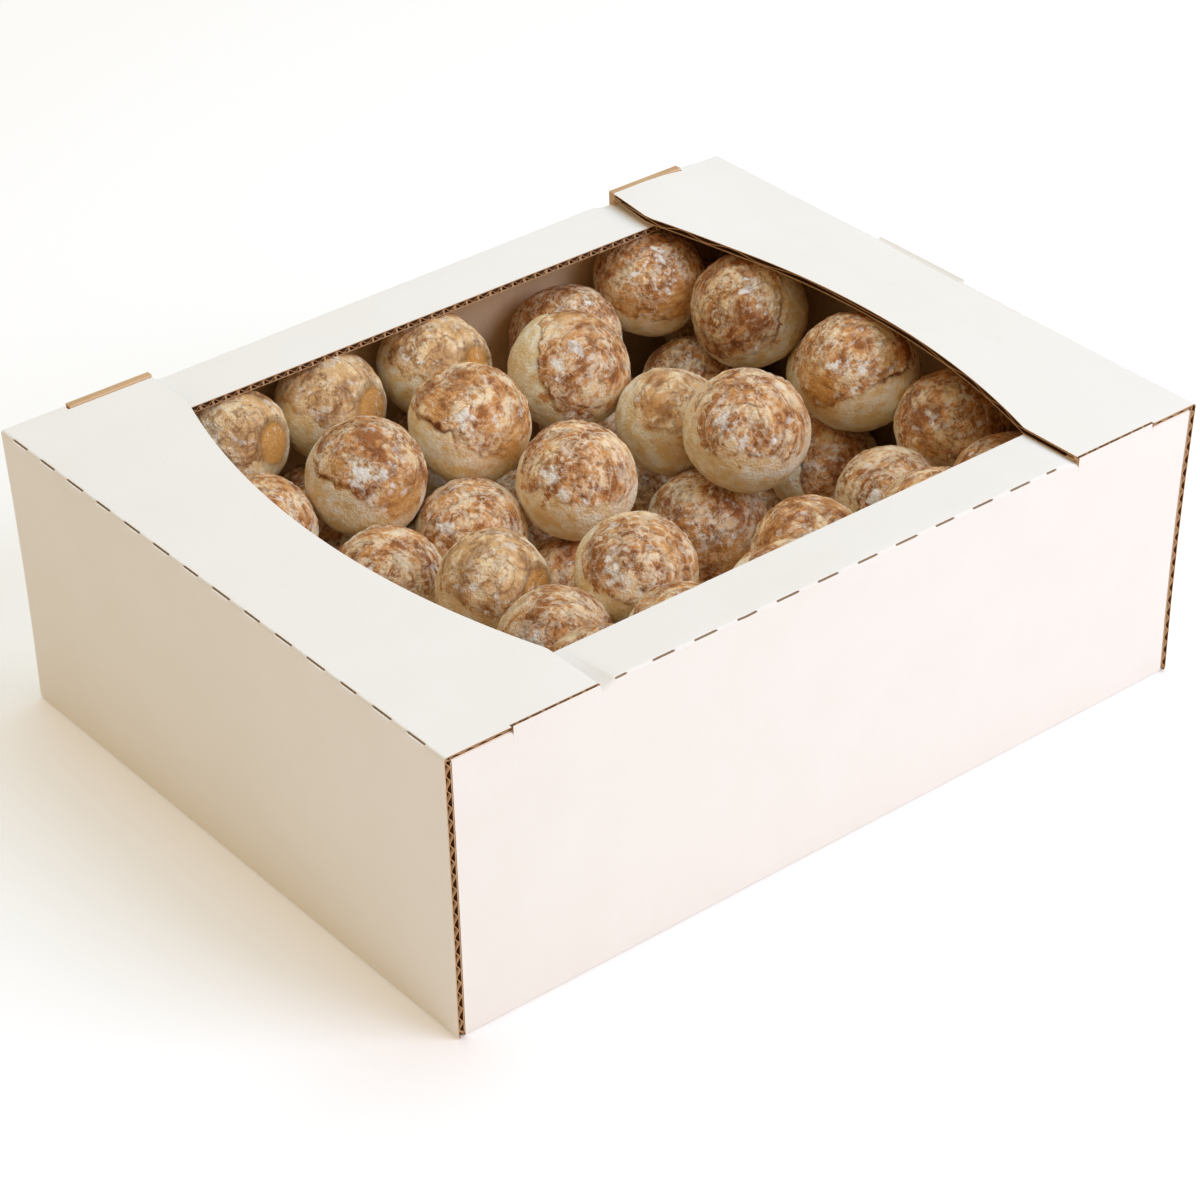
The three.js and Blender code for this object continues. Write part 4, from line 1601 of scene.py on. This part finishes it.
@dataclass(frozen=True)
class CrustFinish:
    """The baked crust: its browns, its pale side, its sugar and its cracks."""

    name: str = "baked_crust"
    dark: Colour = srgb(164, 102, 48)
    brown: Colour = srgb(212, 150, 86)
    light: Colour = srgb(246, 212, 162)
    golden: Colour = srgb(216, 158, 82)
    pale: Colour = srgb(254, 248, 228)
    pale_shade: Colour = srgb(236, 206, 150)
    glaze: Colour = srgb(248, 230, 200)
    sugar: Colour = srgb(250, 247, 238)
    # crack: the dark brown of cracks; in a split's furrow, the pits and the fine cracks it is partly painted
    # shade
    crack: Colour = srgb(128, 74, 34)

    def material(self, groups: Groups) -> bpy.types.Material:
        """Builds the material.

        The crust lies where the inset from its rim, ruffled by noise, is above zero, and its brown follows
        noise that on some kinds runs round a centre. Over it lie dark wandering cracks, glaze in grains, in
        free veins and in rings, and dry sugar in patches that noise breaks up. A split's furrow, the pits and the
        fine cracks in the crust are darker, partly as the crust's own dark brown and partly as painted shade in
        these hollows. The pale side darkens towards the foot, partly by its bake and partly as painted shade.

        Args:
            groups: the shared shader groups.

        Returns:
            The material.
        """
        made, graph, shader = new_material(self.name)
        link = made.node_tree.links.new
        blend, between, noise, value = graph.blend, graph.between, graph.noise, graph.attribute
        times, plus, less, most = graph.times, graph.plus, graph.less, graph.most
        local, swirl = value("local", "Vector"), value("swirl", "Vector")
        inset, rings, sugary = value("inset"), value("rings"), value("sugar")

        mixing = {0: times(rings, 0.85), 4: local, 5: swirl}
        mixed = graph.add("ShaderNodeMix", mixing, data_type="VECTOR").outputs[1]
        broad, blotch = noise(local, 0.09, 3.0, 0.55), noise(local, 0.17, 3.0, 0.6)
        medium, grain = noise(mixed, 0.17, 4.0, 0.62), noise(mixed, 0.5, 2.5, 0.6)
        fine = noise(local, 0.8, 3.0, 0.6)
        ruffled = plus(inset, times(less(blotch, 0.5), 28.0))
        toasted = between(plus(ruffled, times(less(medium, 0.5), 34.0)), -8.0, 2.0)

        browning = plus(times(medium, 0.75), times(grain, 0.25), times(less(broad, 0.5), 0.7))
        brown = blend(between(browning, 0.36, 0.48), self.dark, self.brown)
        brown = blend(between(browning, 0.5, 0.62), brown, self.light)
        brown = blend(times(value("pallor"), 0.8), brown, self.pale_shade)
        patchy = graph.mask(groups.mottle, Vector=local, Scale=0.16, Contrast=5.0)
        pale = blend(patchy, self.pale, self.pale_shade)
        # darker towards the foot: partly the pale side's own bake, partly painted shade on its lower side
        low = times(between(inset, -6.0, -24.0), between(grain, 0.35, 0.6, 0.25, 0.75))
        pale = blend(low, pale, self.pale_shade)
        pale = blend(times(toasted, 0.6), pale, self.light)
        golden = times(value("golden"), between(medium, 0.32, 0.44, 0.5, 1.0))
        colour = blend(golden, blend(between(ruffled, -1.6, 1.6), pale, brown), self.golden)

        cracks = graph.mask(groups.veins, Vector=swirl, Scale=0.12, Distortion=0.5, Width=0.06)
        cracks = times(cracks, between(ruffled, -1.0, 2.0), less(1.0, times(golden, 0.8)), 0.7)
        colour = blend(cracks, colour, self.crack)

        away = graph.add("ShaderNodeSeparateXYZ", {0: swirl}).outputs["X"]
        ring = graph.math("SINE", plus(times(away, 1.15), times(blotch, 12.0)))
        gaps = between(noise(local, 0.3, 3.0, 0.6), 0.49, 0.57)
        ring = times(between(ring, 0.1, 0.85), gaps, rings, 0.8)
        veins = graph.mask(groups.veins, Vector=local, Scale=0.14, Distortion=0.7, Width=0.05)
        spread = between(plus(broad, times(value("veins"), 0.4)), 0.52, 0.8)
        veins = most(times(most(between(grain, 0.53, 0.61, 0.0, 0.9), veins), spread), ring)
        veins = times(veins, between(ruffled, -6.0, 1.0), less(1.0, golden), 0.75)
        flecks = times(between(fine, 0.55, 0.66), between(broad, 0.45, 0.6), 0.4)
        colour = blend(most(veins, flecks), colour, self.glaze)

        patches = between(plus(sugary, times(less(noise(local, 0.26, 3.0, 0.6), 0.5), 3.4)), 0.45, 1.0)
        patches = times(patches, between(sugary, 0.02, 0.25))
        sugar = times(most(patches, between(noise(local, 0.14, 3.0, 0.62), 0.60, 0.68, 0.0, 0.5)), 0.85)
        colour = blend(sugar, colour, self.sugar)

        # a split's furrow, the fine cracks and the pits get the crack brown: partly the crust's own, partly
        # painted shade in these hollows
        furrow = times(value("split"), between(graph.math("ABSOLUTE", less(inset, 0.5)), 2.2, 0.4))
        colour = blend(most(furrow, times(value("crackle"), 0.45), value("pit")), colour, self.crack)
        shade = plus(0.94, times(value("tone"), 0.12))
        grey = graph.add("ShaderNodeCombineColor", dict.fromkeys(range(3), shade)).outputs[0]
        link(blend(1.0, colour, grey, "MULTIPLY"), shader.inputs["Base Color"])

        height = plus(times(medium, 0.8), times(fine, 0.9))
        bump = graph.add("ShaderNodeBump", {"Height": height, "Strength": 0.8, "Distance": 0.0014})
        link(bump.outputs["Normal"], shader.inputs["Normal"])
        link(between(sugar, 0.0, 1.0, 0.62, 0.85), shader.inputs["Roughness"])
        shader.inputs["Specular IOR Level"].default_value = 0.35
        return made


@dataclass
class Heap:
    """The gingerbreads that show through the window, and the ones below and beside them on their core.

    Attributes:
        passes: for each, how many places are tried, from what height down, how deep one may bite into its
            neighbours, and how many of the seen points it may hide.
        smallest: the least radius.
        largest: the greatest radius.
        lean: how far a crown leans from upright at most, in degrees.
        step: by how much one is lowered at a time.
        lowest: where that ends.
        core_top: the core's greatest height.
        core_bump: how deep its bumps dip at the middle of their range.
        sight_rings: the rings of seen points on a face, as shares of its radius.
        sight_turns: how many points a ring has.
        window: the window's reach along X and along Y.
        lid: its height.
        core_grid: points of the core's top along X and along Y.
        near_count: how many of the shown ones lie nearest to the viewer.
        near_grid: points in a ring, and rings, of one of those.
        far_grid: the same for the other shown ones.
        heap_grid: the same for the heap's.
        kinds: the kinds in the heap, which take turns.
        first_seed: the seed of its first one.
    """

    passes: tuple[tuple[int, float, float, int], ...] = ((2000, 125.0, 3.0, 1), (600, 44.0, 16.0, 4))
    smallest: float = 23.5
    largest: float = 25.5
    lean: float = 28.0
    step: float = 3.0
    lowest: float = 16.0
    core_top: float = 26.0
    core_bump: float = 3.0
    sight_rings: tuple[float, ...] = (0.3, 0.65, 0.95)
    sight_turns: int = 12
    window: tuple[tuple[float, float], ...] = ((-139.0, 143.0), (-116.5, 118.0))
    lid: float = 132.0
    core_grid: tuple[int, int] = (96, 74)
    near_count: int = 15
    near_grid: tuple[int, int] = (150, 96)
    far_grid: tuple[int, int] = (110, 66)
    heap_grid: tuple[int, int] = (46, 28)
    kinds: tuple[Kind, ...] = (Kind.SWIRL, Kind.PLAIN, Kind.SPLIT, Kind.DARK, Kind.SIDE)
    first_seed: int = 40

    def sight(self, points: np.ndarray) -> np.ndarray:
        """Directions from points to the viewpoint."""
        return unit(VIEWPOINT - points)

    def covers(self, middles: np.ndarray, radii: np.ndarray, points: np.ndarray) -> np.ndarray:
        """Whether gingerbreads stand before points, as seen from the viewpoint.

        Args:
            middles: shape (n, 3).
            radii: shape (n,).
            points: shape (m, 3).

        Returns:
            Shape (n, m).
        """
        offset = middles[:, None, :] - points
        nearer = (offset * self.sight(points)).sum(-1)
        return (nearer > 0.0) & ((offset**2).sum(-1) - nearer**2 < (radii**2)[:, None])

    def in_window(self, points: np.ndarray) -> np.ndarray:
        """Whether points are seen through the window, where their line of sight crosses the lid's height.

        Args:
            points: shape (m, 3).

        Returns:
            Shape (m,).
        """
        sight = VIEWPOINT - points
        crossing = points + sight * ((self.lid - points[:, 2]) / sight[:, 2])[:, None]
        inside = [(crossing[:, k] > low) & (crossing[:, k] < high) for k, (low, high) in enumerate(self.window)]
        return inside[0] & inside[1]

    def seen_points(self, shown: Places) -> np.ndarray:
        """Points spread over the faces that the shown ones turn to the viewpoint, less the covered ones.

        Args:
            shown: the gingerbreads that show.

        Returns:
            The points that are seen, shape (m, 3).
        """
        sight = self.sight(shown.middles)
        across = unit(np.cross(UP, sight))
        other = np.cross(sight, across)
        kept = []
        for ring in self.sight_rings:
            for turn in range(self.sight_turns):
                angle = 2.0 * math.pi * turn / self.sight_turns
                spoke = across * math.cos(angle) + other * math.sin(angle)
                points = shown.middles + spoke * (ring * shown.radii)[:, None]
                covered = self.covers(shown.middles, shown.radii, points)
                np.fill_diagonal(covered, False)
                kept.append(points[~covered.any(0) & self.in_window(points)])
        return np.concatenate(kept)

    def fill(self, shown: Places) -> Places:
        """The heap's gingerbreads, tried in places that irrational steps spread evenly over the base.

        At each place one is lowered until it fits among the others, biting into them no deeper than its pass
        allows, and hides no more of the seen points than that pass allows. The first pass places whole ones, and
        the second the ones that stand half out of the core between them.

        Args:
            shown: the gingerbreads that show.

        Returns:
            The places that were found.
        """
        points = self.seen_points(shown)
        found: list[tuple[np.ndarray, float, np.ndarray]] = []
        for tries, highest, bite, hides in self.passes:
            for draw in range(1, tries + 1):
                size, across, along, lean, turn = ((draw * step) % 1.0 for step in EVEN_STEPS)
                radius = self.smallest + (self.largest - self.smallest) * size
                x, y = (np.array([across, along]) * 2.0 - 1.0) * (INTERIOR - radius)
                one = Places.from_rows([(x, y, 0.0, radius, self.lean * lean, 360.0 * turn)])
                top = min(highest, CEILING - float(one.reach(UP)[0]))
                heights = np.arange(top, self.lowest, -self.step)
                middles = np.stack([np.full(len(heights), x), np.full(len(heights), y), heights], -1)
                fits = self.gaps(middles, one, shown) >= 0.0
                if found:
                    others = Places(*(np.array(part) for part in zip(*found)))
                    fits &= self.gaps(middles, one, others) >= -bite
                for middle in middles[fits]:
                    if self.covers(middle[None], one.radii, points).sum() <= hides:
                        found.append((middle, radius, one.crowns[0]))
                        break
        return Places(*(np.array(part) for part in zip(*found)))

    def gaps(self, middles: np.ndarray, one: Places, others: Places) -> np.ndarray:
        """The smallest gap between one gingerbread, at several middles, and the others.

        Args:
            middles: shape (h, 3).
            one: the gingerbread.
            others: the ones it may touch.

        Returns:
            Shape (h,).
        """
        line = others.middles - middles[:, None, :]
        distance = np.linalg.norm(line, axis=-1)
        line = line / distance[..., None]
        return (distance - one.reach(line) - others.reach(line) - CLEARANCE).min(-1)

    def core(self) -> bpy.types.Mesh:
        """The heap's core as a closed slab with a bumpy top.

        Its top is a grid over X and Y whose height is the core's own plus noise, and each side hangs straight
        from the grid's border to the base.

        Returns:
            The mesh, with the attributes that its material reads.
        """
        across, along = (np.linspace(-1, 1, n) * half for n, half in zip(self.core_grid, INTERIOR))
        x, y = np.meshgrid(across, along, indexing="ij")
        flat = np.stack([x, y, np.zeros_like(x)], -1)
        bumps = self.core_bump * (CORE_BUMPS.at(flat) - 1.0)
        top = flat + UP * (self.core_top + bumps)[..., None]
        under = flat + UP * FLOOR
        count = x.size
        index = np.arange(count).reshape(x.shape)
        cells = grid_cells(index)
        border = np.concatenate([index[:-1, 0], index[-1, :-1], index[:0:-1, -1], index[0, :0:-1]])
        after = np.roll(border, -1)
        sides = np.stack([border, border + count, after + count, after], -1)
        points = np.concatenate([top.reshape(-1, 3), under.reshape(-1, 3)])
        mesh = make_mesh("heap_core", points * MM, np.concatenate([cells, cells[:, ::-1] + count, sides]))
        write_values(mesh, {key: points for key in VECTORS})
        write_values(mesh, {key: np.full(len(points), 8.0 if key == "inset" else 0.0) for key in NUMBERS})
        return mesh

    def build(self, crust: bpy.types.Material) -> None:
        """Builds the shown gingerbreads, one piece each, and the heap below them.

        Args:
            crust: their material.
        """
        shown = Places.from_rows([row[:6] for row in SHOWN]).settle()
        for k, (*_, kind, mirrored) in enumerate(SHOWN):
            grid = self.near_grid if k < self.near_count else self.far_grid
            mesh = gingerbread_mesh(f"baked_{k + 1:02d}", [shown.bread(k, kind, mirrored, k)], *grid)
            make_piece(mesh, "gingerbread", [crust], f"gingerbread_{k + 1:02d}")
        places = self.fill(shown)
        log.info("heap: %d gingerbreads", len(places.radii))
        breads = []
        for k in range(len(places.radii)):
            kind = self.kinds[k % len(self.kinds)]
            breads.append(places.bread(k, kind, k % 2 == 1, self.first_seed + k))
        make_piece(gingerbread_mesh("baked_heap", breads, *self.heap_grid), "gingerbread", [crust], "heap")
        make_piece(self.core(), "gingerbread", [crust], "heap")


# ------------------------------------------------------------------------------------------ the studio
@dataclass(frozen=True)
class SoftLight:
    """A square light: where it is, how large, how strong and of what colour. It points at the carton."""

    name: str
    place: tuple[float, float, float]
    size: float
    power: float
    colour: tuple[float, float, float]

    def build(self) -> None:
        """Adds the light to the scene."""
        data = bpy.data.lights.new(self.name, "AREA")
        data.size = self.size
        data.energy = self.power
        data.color = self.colour
        lamp = bpy.data.objects.new(self.name, data)
        away = unit(np.array(self.place) - np.array(CARTON_MIDDLE))
        across = unit(np.cross(UP, away))
        turn = Matrix(np.stack([across, np.cross(away, across), away], -1).tolist()).to_4x4()
        lamp.matrix_world = Matrix.Translation(self.place) @ turn
        bpy.context.scene.collection.objects.link(lamp)


@dataclass(frozen=True)
class Studio:
    """The pale floor, the soft lights and the camera."""

    lights: tuple[SoftLight, ...] = (
        SoftLight("key", (0.9, -1.7, 1.5), 1.4, 34.5, (0.66, 0.745, 1.0)),
        SoftLight("top", (0.4, 0.4, 2.2), 1.8, 25.3, (0.475, 0.767, 1.0)),
    )

    def build(self) -> None:
        """Adds everything to the scene."""
        self.floor()
        self.camera()
        for light in self.lights:
            light.build()
        scene = bpy.context.scene
        scene.world = bpy.data.worlds.new("studio")
        scene.world.use_nodes = True
        sky = scene.world.node_tree.nodes["Background"]
        sky.inputs["Color"].default_value = (1.0, 0.744, 0.444, 1.0)
        sky.inputs["Strength"].default_value = 0.558
        scene.view_settings.view_transform = "Standard"

    def floor(self) -> None:
        """A wide pale floor, just below the carton's base. It glows a little, and more so to the camera."""
        half, drop = 6.0, 0.2 * MM
        mesh = bpy.data.meshes.new("floor")
        corners = [(x * half, y * half, -drop) for x, y in ((-1, -1), (1, -1), (1, 1), (-1, 1))]
        mesh.from_pydata(corners, [], [(0, 1, 2, 3)])
        pale, graph, shader = new_material("pale_floor")
        shader.inputs["Base Color"].default_value = (0.98, 0.98, 0.98, 1.0)
        shader.inputs["Roughness"].default_value = 0.9
        shader.inputs["Emission Color"].default_value = (1.0, 1.0, 1.0, 1.0)
        seen = graph.add("ShaderNodeLightPath").outputs["Is Camera Ray"]
        pale.node_tree.links.new(graph.between(seen, 0.0, 1.0, 0.05, 0.12), shader.inputs["Emission Strength"])
        mesh.materials.append(pale)
        piece = bpy.data.objects.new("floor", mesh)
        bpy.context.scene.collection.objects.link(piece)

    def camera(self) -> None:
        """The camera, at the photo's own place and angle."""
        data = bpy.data.cameras.new("camera")
        data.lens = CAMERA_LENS
        data.sensor_width = SENSOR_WIDTH
        data.clip_end = 20.0
        camera = bpy.data.objects.new("camera", data)
        back = np.cross(CAMERA_RIGHT, CAMERA_UP)
        turn = Matrix(np.stack([CAMERA_RIGHT, CAMERA_UP, back], -1).tolist()).to_4x4()
        camera.matrix_world = Matrix.Translation(CAMERA_PLACE) @ turn
        bpy.context.scene.collection.objects.link(camera)
        bpy.context.scene.camera = camera


def main() -> None:
    """Builds the studio, the carton and the gingerbreads, in this order."""
    Studio().build()
    groups = Groups(veins_group(), mottle_group())
    white = BoardFinish("white_liner", srgb(247, 244, 238), srgb(238, 232, 221), 0.5, 0.06, 0.5)
    # the inner liner: kraft brown, painted lighter than bare kraft as painted light against the shade inside the
    # carton
    kraft = BoardFinish("brown_liner_painted_light", srgb(236, 206, 168), srgb(216, 180, 138), 0.9, 0.4, 1.0)
    cut = BoardFinish("cut_edge", srgb(222, 188, 146), srgb(182, 142, 100), 1.0, 0.0, 1.0)
    wave = BoardFinish("flute_paper", srgb(216, 168, 122), srgb(176, 126, 82), 1.0, 0.0, 1.0)
    slit = BoardFinish("perforation", srgb(178, 156, 128), srgb(140, 116, 90), 1.0, 0.0, 0.5)
    # painted shade: a dark brown that stands in for the shade inside the deep flutes
    painted_shade = BoardFinish("flute_painted_shade", srgb(104, 66, 40), srgb(80, 50, 28), 1.0, 0.0, 1.0)
    finishes = [finish.material(groups) for finish in (white, kraft, cut, slit, painted_shade)]
    Carton().build(finishes, wave.material(groups))
    Heap().build(CrustFinish().material(groups))


if __name__ == "__main__":
    main()
